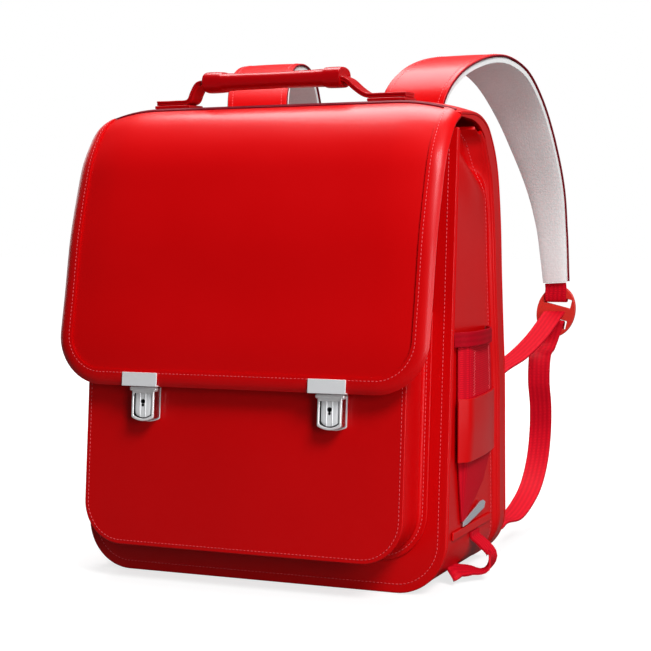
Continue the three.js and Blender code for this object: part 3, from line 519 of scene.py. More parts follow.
# The cover's middle line: up is a share of the height, back of the depth, front of the
# pocket's depth, roll of the edge roll and pad of the padding
coverRows = [
    {"up": 0.4195, "back": 0.0068, "front": 1.00, "roll": 0.22, "pad": 0},
    {"up": 0.5000, "back": 0.0304, "front": 1.00, "roll": 0.22, "pad": 0},
    {"up": 0.6111, "back": 0.0449, "front": 0.85, "roll": 0.33, "pad": 0},
    {"up": 0.7250, "back": 0.0331, "front": 0.60, "roll": 0.45, "pad": 0},
    {"up": 0.8222, "back": 0.0314, "front": 0.35, "roll": 0.67, "pad": 0},
    {"up": 0.8889, "back": 0.0196, "front": 0.10, "roll": 0.84, "pad": 0},
    {"up": 0.9361, "back": 0.0608, "front": 0.00, "roll": 1.00, "pad": 0},
    {"up": 0.9736, "back": 0.1486, "front": 0.00, "roll": 1.00, "pad": 0},
    {"up": 0.9958, "back": 0.2703, "front": 0.00, "roll": 1.00, "pad": 0.10},
    {"up": 1.0000, "back": 0.4054, "front": 0.00, "roll": 1.00, "pad": 0.24},
    {"up": 1.0000, "back": 0.5203, "front": 0.00, "roll": 1.00, "pad": 0.38},
    {"up": 0.9917, "back": 0.6351, "front": 0.00, "roll": 1.00, "pad": 0.58},
    {"up": 0.9708, "back": 0.7500, "front": 0.00, "roll": 1.00, "pad": 0.85},
    {"up": 0.9444, "back": 0.8176, "front": 0.00, "roll": 1.00, "pad": 1.05},
    {"up": 0.9056, "back": 0.8784, "front": 0.00, "roll": 0.90, "pad": 1.15},
    {"up": 0.8556, "back": 0.9189, "front": 0.00, "roll": 0.72, "pad": 1.15},
    {"up": 0.7500, "back": 0.9459, "front": 0.00, "roll": 0.45, "pad": 1.10},
    {"up": 0.6278, "back": 0.9561, "front": 0.00, "roll": 0.33, "pad": 1.05},
    {"up": 0.5083, "back": 0.9797, "front": 0.00, "roll": 0.33, "pad": 1.05},
    {"up": 0.4167, "back": 1.0000, "front": 0.00, "roll": 0.33, "pad": 1.00},
    {"up": 0.2222, "back": 1.0000, "front": 0.00, "roll": 0.33, "pad": 1.00},
    {"up": 0.0010, "back": 1.0000, "front": 0.00, "roll": 0.33, "pad": 1.00},
]
seamRow = 8
stepsPerRow = 12


def drawCoverLine():
    places = [spot(0, frontY + row["back"] * body["depth"] - row["front"] * pocket["depth"],
                   row["up"] * body["height"]) for row in coverRows]
    shares = [spot(row["roll"], row["pad"], 0) for row in coverRows]
    places = curveThrough(places, stepsPerRow)
    shares = curveThrough(shares, stepsPerRow, even=True)
    line, run = [], 0
    for i, place in enumerate(places):
        run += (place - places[i - 1]).length if i else 0
        along = (places[min(i + 2, len(places) - 1)] - places[max(i - 2, 0)]).normalized()
        line.append({"place": place, "run": run, "inward": spot(0, along.z, -along.y),
                     "roll": shares[i].x, "pad": max(shares[i].y, 0)})
    return line


coverLine = drawCoverLine()
coverRuns = [at["run"] for at in coverLine]
seamRun = coverRuns[seamRow * stepsPerRow]
endRun = coverRuns[-1]


def coverAt(distance):
    i = min(max(bisect_left(coverRuns, distance), 1), len(coverLine) - 1)
    a, b = coverLine[i - 1], coverLine[i]
    share = (distance - a["run"]) / (b["run"] - a["run"])
    return {key: mix(a[key], b[key], share) for key in ("place", "inward", "roll", "pad")}


# A place on the cover: its distance from the flap's end, x from the middle, rise over the face
def onCover(distance, x, rise=0):
    at = coverAt(distance)
    flat = half * body["flatShare"]
    rolled = max(abs(x) - flat, 0) / (half - flat)
    sink = body["roll"] * at["roll"] * rolled * rolled - rise
    return at["place"] + at["inward"].normalized() * sink + spot(x, 0, 0)


def coverNormal(distance, x):
    along = onCover(distance + 1, x) - onCover(distance - 1, x)
    across = onCover(distance, x + 1) - onCover(distance, x - 1)
    normal = across.cross(along).normalized()
    return normal if normal.dot(coverAt(distance)["inward"]) < 0 else -normal


def backThickness(distance):
    return body["leather"] + body["pad"] * coverAt(distance)["pad"]


def frontPlane(z):
    return frontY + body["lean"] * z


# A line down the back at one x, read by height
def backLine(x, rise, inner=True):
    line = []
    stop = seamRun
    while stop <= endRun:
        thickness = backThickness(stop) if inner else 0
        place = onCover(stop, x, rise - thickness)
        if place.y > 0:
            line.append(place)
        stop += 2
    return line


def readLine(line, z):
    for a, b in zip(line, line[1:]):
        if a.z >= z >= b.z:
            return mix(a.y, b.y, (a.z - z) / (a.z - b.z))
    return line[-1].y


# Square grids drawn into rounded corners: x and y run from 0 at the circle's middle to 1
def roundCorner(x, y):
    reach = max(x, y)
    if reach <= 0:
        return 0, 0
    angle = pi / 4 * (y / x if x >= y else 2 - x / y)
    return reach * cos(angle), reach * sin(angle)


def inPanel(x, z, panelHalf, foot, radius):
    over, under = abs(x) - (panelHalf - radius), foot + radius - z
    if over > 0 and under > 0:
        a, b = roundCorner(over / radius, under / radius)
        return copysign(panelHalf - radius + radius * a, x), foot + radius - radius * b
    return x, z


# Columns across a panel: fine in its two corners, and even between them
def panelColumns(panelHalf, corner):
    return stretches([-panelHalf, corner - panelHalf, panelHalf - corner, panelHalf], [9, 24, 9])


# A sheet of leather: red on its faces and painted on its cut edges
def finishSheet(piece, thickness, edge, node, segments=2):
    paint(piece, redLeather, darkEdge)
    thicken(piece, thickness, edge, segments=segments)
    belong(piece, "red_leather", node)


# Stitches: a row is a list of places with the way that the surface faces

def sew(name, rows, length=2.1, gap=0.9, width=0.6):
    stitches = bmesh.new()
    for row in rows:
        runs = [0]
        for (a, _), (b, _) in zip(row, row[1:]):
            runs.append(runs[-1] + (b - a).length)
        count = max(int(runs[-1] / (length + gap)), 1)
        pitch = runs[-1] / count
        for k in range(count):
            run = (k + 0.5) * pitch
            i = min(max(bisect_left(runs, run), 1), len(runs) - 1)
            share = (run - runs[i - 1]) / max(runs[i] - runs[i - 1], 1e-6)
            place = mix(row[i - 1][0], row[i][0], share)
            normal = mix(row[i - 1][1], row[i][1], share).normalized()
            along = (row[i][0] - row[i - 1][0]).normalized()
            side = normal.cross(along).normalized()
            turn = Matrix((side * width / 2, normal * width / 2, along * length / 2)).transposed().to_4x4()
            turn.translation = place
            shape = Matrix.Scale(mm, 4) @ turn
            bmesh.ops.create_uvsphere(stitches, u_segments=6, v_segments=4, radius=1, matrix=shape)
    mesh = bpy.data.meshes.new(name)
    stitches.to_mesh(mesh)
    stitches.free()
    piece = bpy.data.objects.new(name, mesh)
    bpy.context.scene.collection.objects.link(piece)
    shadeSmooth(piece, 80)
    return dress(piece, redThread, "red_webbing")


# Flap, its border strip and the seam across the top

flap = {"corner": 38, "border": 11, "borderThickness": 1.2, "wrap": 1.1, "stitchInset": 8.6,
        "tuck": 2.0, "seamWidth": 6, "seamHeight": 1.0}


def buildFlap():
    corner = flap["corner"]
    columns = panelColumns(half, corner)
    rows = stretches([0, corner, seamRun - body["gap"] / 2], [9, 48])

    def place(x, stop):
        x, stop = inPanel(x, stop, half, 0, corner)
        inset = flap["tuck"]
        return onCover(mix(inset, seamRun, stop / seamRun), x * (half - inset) / half)

    piece = layGrid("flapSheet", columns, rows, place, (0, -1, 0))
    finishSheet(piece, body["leather"], 0.7, "flap")


# A line round the flap's free edge, so far in from it
def borderRail(inset):
    sideSteps, cornerSteps, footSteps = 40, 14, 24
    corner, radius = flap["corner"], flap["corner"] - inset
    top = seamRun - body["gap"] - flap["seamWidth"] / 2
    rail = [(inset - half, mix(top, corner, i / sideSteps)) for i in range(sideSteps)]
    for i in range(cornerSteps + 1):
        angle = pi / 2 * i / cornerSteps
        rail.append((corner - half - radius * cos(angle), corner - radius * sin(angle)))
    middle = [(mix(corner - half, half - corner, i / footSteps), inset) for i in range(1, footSteps)]
    return rail + middle + [(-x, stop) for x, stop in reversed(rail)]


def buildBorder():
    thick, wrap, leather = flap["borderThickness"], flap["wrap"], body["leather"]
    top = thick + body["gap"] / 2
    # inset from the edge and rise over the flap, from its face round the edge to its inner side
    section = [(flap["border"], top), (flap["border"] - 1, top + 0.15), (8, top + 0.15), (6.4, top + 0.1),
               (5, top - 0.1), (3.7, top - 0.35), (2.5, top - 0.7), (1.4, top - 1.15), (0.4, top - 1.7),
               (-0.5, top - 2.3), (-wrap, -leather / 2), (-0.6, -leather - 0.8), (0.1, -leather - 1.2),
               (1.0, -leather - 1.3), (4, -leather - 1.3)]
    rails = [borderRail(inset) for inset, _ in section]

    def place(column, row):
        x, stop = rails[column][row]
        return onCover(stop, x, section[column][1])

    piece = layGrid("flapBorder", range(len(section)), range(len(rails[0])), place, (0, -1, 0))
    if piece.data.polygons[3].normal.y > 0:
        flipFaces(piece)
    paint(piece, redLeather, redLeather)
    thicken(piece, thick, edge=0.3)
    belong(piece, "red_leather", "flap_binding")
    rise = top + 0.1
    rail = borderRail(flap["stitchInset"])
    sew("flapStitches", [[(onCover(stop, x, rise), coverNormal(stop, x)) for x, stop in rail]])


def buildSeam():
    width, tall = flap["seamWidth"], flap["seamHeight"]
    # shares of the seam's width and of its height, once round
    profile = [(0.50, 0.0), (0.49, 0.55), (0.42, 0.85), (0.30, 1.0), (0.18, 0.95), (0.09, 0.72), (0.04, 0.5)]
    section = [(-share, rise) for share, rise in profile] + profile[::-1]
    reach = half - body["flange"]
    rings = []
    for i in range(61):
        x = reach * (2 * i / 60 - 1)
        rings.append([onCover(seamRun + share * width, x, 0.15 + tall * rise) for share, rise in section])
    piece = drawRings("topSeam", rings)
    dress(piece, darkEdge, "edge_paint", "top_seam_strip")


buildFlap()
buildBorder()
buildSeam()
print("flap laid")


# Padded back: an outer sheet and the padding behind it

back = {"sheet": 2.2, "step": 0.3}


def buildBack():
    corner, seam = body["corner"], seamRun + body["gap"] / 2
    rows = stretches([seam, endRun - corner, endRun], [90, 9])

    def places(inset, riseAt):
        def place(x, stop):
            x, left = inPanel(x, endRun - stop, half, 0, corner)
            shrink = (half - inset) / half
            return onCover(endRun - left - (inset if left < 1 else 0), x * shrink, riseAt(endRun - left))
        return place

    columns = panelColumns(half, corner)
    sheet = layWall("backSheet", columns, rows, places(0, lambda stop: 0), places(0, lambda stop: -back["sheet"]),
                    (0, 1, 0), edge=0.6, rim=1)
    paint(sheet, redLeather, darkEdge)
    belong(sheet, "red_leather", "back_panel")
    pad = layWall("backPad", columns, rows, places(back["step"], lambda stop: -back["sheet"] - 0.1),
                  places(back["step"], lambda stop: -backThickness(stop)), (0, 1, 0), edge=1.9)
    dress(pad, redLeather, "red_leather")


buildBack()
print("back laid")


# The case under the flap: front panel, the U-shaped side wall and a bead in each seam

# A run down one side, along the bottom and up the other side, with the way out at each place
def boxRun(boxHalf, foot, top, radius, sideSteps):
    cornerSteps, bottomSteps = 12, 24
    run = [(-boxHalf, mix(top, foot + radius, i / sideSteps), pi) for i in range(sideSteps)]
    for i in range(cornerSteps + 1):
        angle = pi + pi / 2 * i / cornerSteps
        run.append((-boxHalf + radius + radius * cos(angle), foot + radius + radius * sin(angle), angle))
    turned = [(-x, z, 3 * pi - angle) for x, z, angle in reversed(run)]
    run += [(mix(-1, 1, i / bottomSteps) * (boxHalf - radius), foot, 1.5 * pi) for i in range(1, bottomSteps)]
    return [{"x": x, "z": z, "out": spot(cos(angle), 0, sin(angle))} for x, z, angle in run + turned]


gusset = {"creaseFront": 319, "creaseDrop": 34, "creaseWidth": 24, "foldDepth": 10, "arch": 5.5, "archFrom": 300,
          "ridge": 2.6, "ridgeAbove": 9, "ridgeBelow": 26, "lip": 2.6, "lipWidth": 3.2}
stitching = {"case": 6.5, "gusset": 7.0, "top": 3, "rise": 0.1}
gussetHalf = half - body["flange"]
gussetBackLine = backLine(half, -pipingRoom)
pipingBackLine = backLine(half, -body["gap"] - body["piping"])


def gussetFront(z):
    return frontPlane(z) + frontInner + pipingRoom


def gussetBack(z):
    return readLine(gussetBackLine, z)


def acrossGusset(share, z):
    return mix(gussetFront(z), gussetBack(z), share)


def buildFrontPanel():
    corner, gap = body["corner"], body["gap"]
    columns = panelColumns(half, corner)
    rows = stretches([gap, gap + corner, body["caseTop"]], [9, 40])

    def place(x, z):
        x, z = inPanel(x, z, half, gap, corner)
        return spot(x, frontPlane(z), z)

    piece = layGrid("casePanel", columns, rows, place, (0, -1, 0))
    finishSheet(piece, body["leather"], 0.8, "front_panel", segments=3)


# The gusset is pushed in behind a slanting crease under its top, and bulges a little before it
def gussetInset(z, share, span):
    above = z - (gusset["creaseFront"] - gusset["creaseDrop"] * share)
    fold = ease(above / gusset["creaseWidth"]) * (1 - ease((share - 0.82) / 0.18)) * ease(share / 0.15)
    reach = gusset["ridgeAbove"] if above > 0 else gusset["ridgeBelow"]
    ridge = sin(pi * min(max(share, 0), 1)) * exp(-((above / reach) ** 2))
    edge = min(share, 1 - share) * span
    lip = gusset["lip"] * (1 - ease(edge / gusset["lipWidth"]))
    return gusset["foldDepth"] * fold - gusset["ridge"] * ridge - lip


def buildGusset():
    run = boxRun(gussetHalf, 0, body["caseTop"], body["corner"] - body["flange"], 80)
    shares = [0, 0.008, 0.016, 0.025, 0.04, 0.06] + [0.1 + 0.05 * i for i in range(17)]
    shares += [0.94, 0.96, 0.975, 0.984, 0.992, 1]

    def place(share, i):
        at = run[i]
        near, far = gussetFront(at["z"]), gussetBack(at["z"])
        inset = gussetInset(at["z"], share, far - near)
        # the bottom stays flat, so its lip doesn't reach the floor
        if at["out"].z < 0:
            inset = mix(inset, max(inset, 0), -at["out"].z)
        lift = gusset["arch"] * ease((at["z"] - gusset["archFrom"]) / (body["caseTop"] - gusset["archFrom"]))
        lift *= sin(pi * min(share / 0.8, 1))
        return spot(at["x"], mix(near, far, share), at["z"] + lift) - at["out"] * inset

    piece = layGrid("caseGusset", shares, range(len(run)), place, (0, 0, -1))
    finishSheet(piece, body["leather"], 0.7, "case_gusset")


def buildBeads():
    radius = body["piping"]
    run = boxRun(half - radius, radius + body["gap"], body["caseTop"] - radius, body["corner"] - radius, 50)
    middle = body["gap"] + radius
    for name, node, yAt in (("frontBead", "front_piping", lambda z: frontPlane(z) + frontInner + middle),
                            ("backBead", "back_piping", lambda z: readLine(pipingBackLine, z))):
        line = [spot(at["x"], yAt(at["z"]), at["z"]) for at in run]
        bead = drawBead(name, line, radius, lambda i: run[i]["out"])
        dress(bead, redLeather, "red_leather", node)


def sewCase():
    inset, top, rise = stitching["case"], body["caseTop"] - stitching["top"], stitching["rise"]
    run = boxRun(half - inset, body["gap"] + inset, top, body["corner"] - inset, 50)
    facing = spot(0, -1, body["lean"]).normalized()
    panelRow = [(spot(at["x"], frontPlane(at["z"]), at["z"]) + rise * facing, facing) for at in run]
    run = boxRun(gussetHalf, 0, top, body["corner"] - body["flange"], 50)
    sideRows = []
    for side in (-1, 1):
        row = []
        for at in run:
            if at["x"] * side > 0 and at["out"].x * side > 0.7:
                z, out = at["z"], at["out"]
                span = gussetBack(z) - gussetFront(z)
                share = 1 - stitching["gusset"] / span
                inset = gussetInset(z, share, span) - rise
                row.append((spot(at["x"], acrossGusset(share, z), z) - out * inset, out))
        sideRows.append(row)
    sew("caseStitches", [panelRow])
    sew("gussetStitches", sideRows)


buildFrontPanel()
buildGusset()
buildBeads()
sewCase()
print("case laid")


# Front pocket

flapFoot = coverRows[0]["up"] * body["height"]
pocketTop = flapFoot + pocket["covered"]
pocketFace = frontY - pocket["depth"]
pocketHalf = pocket["width"] / 2


# A place on the pocket's front, which is a little fuller in its middle
def onPocket(x, z, crownX, crownZ):
    fullness = (1 - (crownX / pocketHalf) ** 2) * max(0, 1 - ((crownZ - pocket["foot"] - pocket["crownUp"])
                                                             / pocket["crownReach"]) ** 2)
    return spot(x, pocketFace + body["lean"] * z - pocket["crown"] * fullness, z)


def buildPocket():
    corner, foot = pocket["corner"], pocket["foot"]
    columns = panelColumns(pocketHalf, corner)
    rows = stretches([foot, foot + corner, pocketTop], [9, 30])

    def place(x, z):
        return onPocket(*inPanel(x, z, pocketHalf, foot, corner), x, z)

    piece = layGrid("pocketFront", columns, rows, place, (0, -1, 0))
    finishSheet(piece, body["leather"], 0.8, "pocket_front", segments=3)

    over, leather = pocket["overhang"], pocket["leather"]
    run = boxRun(pocketHalf - over, foot + over, pocketTop, corner - over, 14)
    near, far = pocketFace + frontInner + body["gap"], frontY - body["gap"] - leather
    # depth from the pocket's front edge, and how far the wall is turned out there
    section = [(0, 0), (0.02, 0.0), (0.12, 0.5), (0.3, 1.0), (0.5, 1.2), (0.7, 1.0), (0.88, 0.4), (0.95, 0.3),
               (0.98, 0.9), (1.0, 1.9), (1.0, 3.2), (1.0, pocket["flange"] + 1.5)]

    def wallPlace(column, i):
        at = run[i]
        share, out = section[column]
        return spot(at["x"], mix(near, far, share) + body["lean"] * at["z"], at["z"]) + at["out"] * out

    wall = layGrid("pocketGusset", range(len(section)), range(len(run)), wallPlace, (0, 0, -1))
    finishSheet(wall, leather, 0.5, "pocket_gusset")

    inset = pocket["stitchInset"]
    run = boxRun(pocketHalf - inset, foot + inset, pocketTop - 2, corner - inset, 20)
    facing = spot(0, -1, body["lean"]).normalized()
    row = [(onPocket(at["x"], at["z"], at["x"], at["z"]) + stitching["rise"] * facing, facing) for at in run]
    inset = over - pocket["flange"] * 0.6
    run = boxRun(pocketHalf - inset, foot + inset, pocketTop - 2, corner - inset, 20)
    flangeRow = [(spot(at["x"], far + body["lean"] * at["z"] - 0.05, at["z"]), facing) for at in run]
    sew("pocketStitches", [row, flangeRow])


buildPocket()
print("pocket laid")


# Locks: each is drawn flat, x across, y up and z outwards, and laid on the leaning pocket

locks = {"spacing": 153, "width": 18.6, "height": 23.2, "depth": 11, "sag": 2.6, "corner": 1.7, "plateThickness": 1,
         "barWidth": 23.4, "barHeight": 3.7, "barDepth": 4.6, "barStandOff": 0.4, "play": 2.5, "buttonBack": 6.8,
         "buttonFront": 10.3, "ridges": 0.6, "ridgeAt": 0.34, "keyholeRadius": 1.8, "tongueWidth": 19,
         "tongueHeight": 3.2, "tongueDepth": 3.2}
lockTop = flapFoot - locks["plateThickness"] - 3 * body["gap"] - locks["depth"] * body["lean"]
# how far the case grows past its outline, and its depth, from the back flange round the rim to the floor
lockSection = [(0.10, 0.3), (0.55, 0.3), (0.70, 0.6), (0.60, 1.2), (0.05, 1.4), (-0.15, 2.2), (-0.15, 9.2),
               (0.0, 9.7), (0.12, 10.2), (0.10, 10.7), (-0.15, 11.0), (-0.55, 11.1), (-1.15, 11.1), (-1.5, 10.95),
               (-1.7, 10.6), (-1.72, 9.8), (-1.72, 4.3)]


def layOnPocket(piece, x):
    lean = atan(body["lean"])
    up, out = spot(0, sin(lean), cos(lean)), spot(0, -cos(lean), sin(lean))
    turn = Matrix((spot(1, 0, 0), up, out)).transposed().to_4x4()
    piece.data.transform(Matrix.Translation(mm * spot(x, pocketFace + body["lean"] * lockTop, lockTop)) @ turn)


# The U-shaped outline of the case, grown by so much
def lockOutline(grow):
    wide, turn = locks["width"] / 2 + grow, locks["corner"]
    slope = atan(2 * locks["sag"] / wide)
    joinX = wide - turn * (1 - sin(slope))

    def sagging(x):
        return -locks["height"] - grow - locks["sag"] * (1 - (x / wide) ** 2)

    centreY = sagging(joinX) + turn * cos(slope)
    top = -0.6 + 2.75 * min(grow, 0)
    side = [(wide, mix(top, centreY, i / 5)) for i in range(5)]
    for i in range(6):
        angle = (pi / 2 - slope) * i / 5
        side.append((wide - turn + turn * cos(angle), centreY - turn * sin(angle)))
    foot = [(mix(joinX, -joinX, i / 12), sagging(mix(joinX, -joinX, i / 12))) for i in range(1, 12)]
    head = [(mix(-wide, wide, i / 6), top) for i in range(1, 6)]
    return side + foot + [(-x, y) for x, y in reversed(side)] + head


def drawLockCase():
    case = drawRings("lockCase", [[spot(x, y, depth) for x, y in lockOutline(grow)] for grow, depth in lockSection])
    paint(case, brightMetal, lockShade, shadedLockWall)
    # Painted shade: faces inside the case take near black, and its side walls a darker copy of its metal
    for face in case.data.polygons:
        across, up, depth = abs(face.center.x) / mm, face.center.y / mm, face.center.z / mm
        if 1 < depth < 10.3 and across < locks["width"] / 2 - 1.5 and up > -locks["height"] - 0.4:
            face.material_index = 1  # inside
        elif 1.6 < depth < 9.6:
            face.material_index = 2  # side walls
    return case


def drawLockBlock(name, centre, size):
    deselectAll()
    bpy.ops.mesh.primitive_cube_add(size=1)
    block = bpy.context.object
    block.name = block.data.name = name
    block.data.transform(Matrix.Translation(mm * centre) @ Matrix.Diagonal(mm * size).to_4x4())
    return block


def drawLockBar():
    wide, tall, deep = locks["barWidth"], locks["barHeight"], locks["barDepth"]
    middle = spot(0, -tall / 2, locks["depth"] + locks["barStandOff"] - deep / 2)
    bar = drawLockBlock("lockBar", middle, spot(wide, tall, deep))
    softenEdges(bar, 1.7, segments=5)
    shadeSmooth(bar)
    return paint(bar, brightMetal)


# The tongue between the bar and the plate is narrower at its top
def drawLockTongue():
    tall = locks["tongueHeight"]
    size = spot(locks["tongueWidth"], tall, locks["tongueDepth"])
    tongue = drawLockBlock("lockTongue", spot(0, tall / 2 - 1.2, 7.6), size)
    for corner in tongue.data.vertices:
        if corner.co.y > 0:
            corner.co.x *= 0.86
    softenEdges(tongue, 0.35)
    return paint(tongue, satinMetal)


def drawLockButton():
    wide = locks["width"] / 2 - locks["play"]
    foot = locks["height"] - locks["play"]
    top = -locks["barHeight"] - 1.1
    shares = [1, 0.97, 0.9, 0.8, 0.68, 0.45, 0.38, 0.34, 0.30, 0.23]
    columns = [-share for share in shares] + [0] + shares[::-1]
    rows = stretches([0, 1], [14])

    def bulge(share, row):
        ridge = max(0, 1 - abs(abs(share) - locks["ridgeAt"]) / 0.05) * locks["ridges"]
        return ridge - 0.55 * max(0, abs(share) - 0.72) / 0.28 - 0.5 * max(0, 0.08 - row) / 0.08

    def face(front):
        def place(share, row):
            low = -foot - locks["sag"] * (1 - share * share) + 0.8 * max(0, abs(share) - 0.9)
            depth = locks["buttonFront"] + bulge(share, row) if front else locks["buttonBack"]
            return spot(share * wide, mix(low, top, row), depth)
        return place

    button = layWall("lockButton", columns, rows, face(True), face(False), (0, 0, 1), edge=0.25, segments=2)
    keyY = top - 0.40 * (foot + top)
    radius = locks["keyholeRadius"]
    for drop, share in ((0, 1.0), (1.55 * radius, 0.62)):
        deselectAll()
        bpy.ops.mesh.primitive_cylinder_add(vertices=32, radius=radius * share * mm, depth=8 * mm,
                                            location=mm * spot(0, keyY - drop, locks["buttonFront"]))
        cutter = bpy.context.object
        cut = button.modifiers.new("keyhole", "BOOLEAN")
        cut.object = cutter
        cut.solver = "EXACT"
        applyModifiers(button)
        bpy.data.objects.remove(cutter)
    shadeSmooth(button, 35)
    paint(button, satinMetal, lockShade)
    # The keyhole's walls take near black, as painted shade
    for face in button.data.polygons:
        across, along = face.center.x / mm, face.center.y / mm - keyY
        if abs(across) < 1.02 * radius and -3.3 * radius < along < 1.02 * radius and abs(face.normal.z) < 0.5:
            face.material_index = 1
    return button


def buildLocks():
    parts = drawLockCase(), drawLockBar(), drawLockTongue(), drawLockButton()
    for sideName, side in (("left", -1), ("right", 1)):
        x = side * locks["spacing"] / 2
        case, bar, tongue, button = [copyPiece(part, f"{part.name}.{sideName}") for part in parts]
        for piece in (case, bar, tongue, button):
            layOnPocket(piece, x)
        belong(case, "silver_metal", f"lock_case_{sideName}")
        belong(bar, "silver_metal")
        belong(tongue, "silver_metal")
        belong(button, "silver_metal", f"lock_button_{sideName}", body=f"button_{sideName}")
        roundNode(f"lock_plate_{sideName}", f"lockPlate.{sideName}", 0.3, satinMetal, "silver_metal")
    for part in parts:
        bpy.data.objects.remove(part)


buildLocks()
print("locks laid")


# Strips: each station of a line gets the way across it and the way it faces

def stationsAlong(path, widths, across):
    stations = []
    for i, centre in enumerate(path):
        along = (path[min(i + 1, len(path) - 1)] - path[max(i - 1, 0)]).normalized()
        wanted = across(i) if callable(across) else across
        side = (wanted - along * wanted.dot(along)).normalized()
        width = widths(i / (len(path) - 1)) if callable(widths) else widths
        stations.append({"centre": centre, "side": side, "normal": side.cross(along), "width": width})
    return stations


def onStrip(station, share, rise):
    return station["centre"] + station["side"] * share * station["width"] / 2 + station["normal"] * rise


def pathLength(path):
    return sum((b - a).length for a, b in zip(path, path[1:]))


def layStrip(name, path, widths, thickness, across, offset=0, crown=0, columns=6, edge=0.3, rim=0, even=True):
    stations = stationsAlong(path, widths, across)
    shares = [2 * j / columns - 1 for j in range(columns + 1)]

    def place(share, i):
        return onStrip(stations[i], share, offset + thickness / 2 + crown * (1 - share * share))

    piece = layGrid(name, shares, range(len(path)), place, stations[len(path) // 2]["normal"])
    scaleMap(piece, stations[0]["width"], pathLength(path))
    return thicken(piece, thickness, edge, rim=rim, even=even)


# Handle

handle = {"place": -17, "rise": 15, "width": 18, "thickness": 3.6, "gripHeight": 13, "gripThickness": 23,
          "tabThickness": 2.4}
# share of half the body's width, and share of the handle's rise
handleRows = [(-0.713, 0.00), (-0.600, 0.00), (-0.525, 0.06), (-0.500, 0.50), (-0.470, 0.92), (-0.400, 1.00),
              (-0.040, 1.00), (0.310, 1.00), (0.370, 0.82), (0.425, 0.36), (0.480, 0.03), (0.560, 0.00),
              (0.700, 0.00)]
# share of half the body's width, and share of the grip's height
gripRows = [(-0.433, 0.95), (-0.431, 1.16), (-0.424, 1.25), (-0.400, 1.26), (-0.360, 1.24), (-0.335, 1.20),
            (-0.326, 1.04), (-0.260, 1.00), (-0.150, 0.98), (-0.040, 0.96), (0.070, 0.98), (0.180, 1.00),
            (0.246, 1.04), (0.256, 1.20), (0.285, 1.22), (0.325, 1.22), (0.339, 1.20), (0.345, 1.10), (0.347, 0.92)]


def buildHandle():
    base = body["height"] + 2 * body["gap"] + handle["tabThickness"] + handle["thickness"] / 2
    line = [spot(out * half, handle["place"], base + rise * handle["rise"]) for out, rise in handleRows]
    path = curveThrough(line, 6)
    across = spot(0, 1, 0)
    layer = handle["thickness"] / 2
    for name, width, way, nodes in (("handleStrapOuter", handle["width"], -1, ["handle_strap"]),
                                    ("handleStrapInner", handle["width"] - 0.8, 1, [])):
        strip = layStrip(name, path, width, layer - 0.05, across, way * layer / 2, columns=4, edge=0.4, rim=1)
        belong(paint(strip, handleLeather, darkEdge), "red_leather", *nodes)

    sides = 28
    outline = []
    for j in range(sides):
        angle = 2 * pi * j / sides
        across, up = [copysign(abs(part) ** 0.7, part) / 2 for part in (cos(angle), sin(angle))]
        outline.append((across * handle["gripThickness"], up * handle["gripHeight"]))
    middle = base + handle["rise"]
    rings = [[spot(out * half, handle["place"] + across, middle + up * tall) for across, up in outline]
             for out, tall in gripRows]
    grip = drawRings("handleGrip", rings, edge=0.4)
    dress(grip, handleLeather, "red_leather", "handle_grip")
    for sideName in ("left", "right"):
        roundNode(f"handle_tab_{sideName}", f"handleTab.{sideName}", 0.7, handleLeather, "red_leather")


buildHandle()
print("handle laid")


# Shoulder straps

straps = {"width": 54, "spread": 127, "reach": 224, "shell": 2.2, "pad": 6.2, "liningInset": 0.8, "crown": 0.5,
          "bead": 0.8, "stitchInset": 4.5}
# out is a share of the spread, back of the reach, up of the body's height and wide of the width
strapRows = [
    {"out": 0.500, "back": 0.000, "up": 0.7200, "wide": 1.00},
    {"out": 0.503, "back": 0.000, "up": 0.7700, "wide": 1.00},
    {"out": 0.507, "back": 0.000, "up": 0.8200, "wide": 1.00},
    {"out": 0.515, "back": 0.006, "up": 0.8800, "wide": 1.00},
    {"out": 0.525, "back": 0.024, "up": 0.9500, "wide": 1.00},
    {"out": 0.560, "back": 0.062, "up": 1.0250, "wide": 1.00},
    {"out": 0.610, "back": 0.145, "up": 1.0750, "wide": 1.00},
    {"out": 0.685, "back": 0.290, "up": 1.1100, "wide": 1.00},
    {"out": 0.740, "back": 0.460, "up": 1.1180, "wide": 1.00},
    {"out": 0.800, "back": 0.625, "up": 1.0880, "wide": 0.96},
    {"out": 0.850, "back": 0.760, "up": 1.0200, "wide": 0.88},
    {"out": 0.900, "back": 0.860, "up": 0.9300, "wide": 0.78},
    {"out": 0.950, "back": 0.945, "up": 0.8200, "wide": 0.64},
    {"out": 0.976, "back": 0.985, "up": 0.7200, "wide": 0.52},
    {"out": 1.000, "back": 1.000, "up": 0.5800, "wide": 0.44},
]
webbing = {"width": 20, "thickness": 1.6, "slotCentre": 10, "slotHeight": 8, "sliderLength": 48,
           "sliderThickness": 4, "tilt": radians(14), "drop": 3, "shift": 2, "standOff": 6, "tailStandOff": 1.5,
           "lowerTabLength": 36, "lowerTabThickness": 2.4}
# the loose webbing, as shares of the spread, the reach and the body's height
slackRows = [(1.040, 0.120, 0.0600), (1.030, 0.310, 0.0480), (1.020, 0.470, 0.0620), (1.010, 0.620, 0.0950),
             (1.005, 0.715, 0.1500), (1.000, 0.765, 0.2150), (1.000, 0.770, 0.2800), (0.990, 0.765, 0.3400),
             (0.980, 0.800, 0.4000)]
tailRows = [(1.010, 0.700, 0.4550), (1.025, 0.400, 0.4220), (1.035, 0.110, 0.4050)]
strapStack = straps["shell"] + body["gap"] + straps["pad"]
strapRootY = readLine(backLine(0, body["gap"], inner=False), strapRows[0]["up"] * body["height"])


def strapLine(side):
    return [spot(side * row["out"] * straps["spread"], strapRootY + strapStack / 2 + row["back"] * straps["reach"],
                 row["up"] * body["height"]) for row in strapRows]


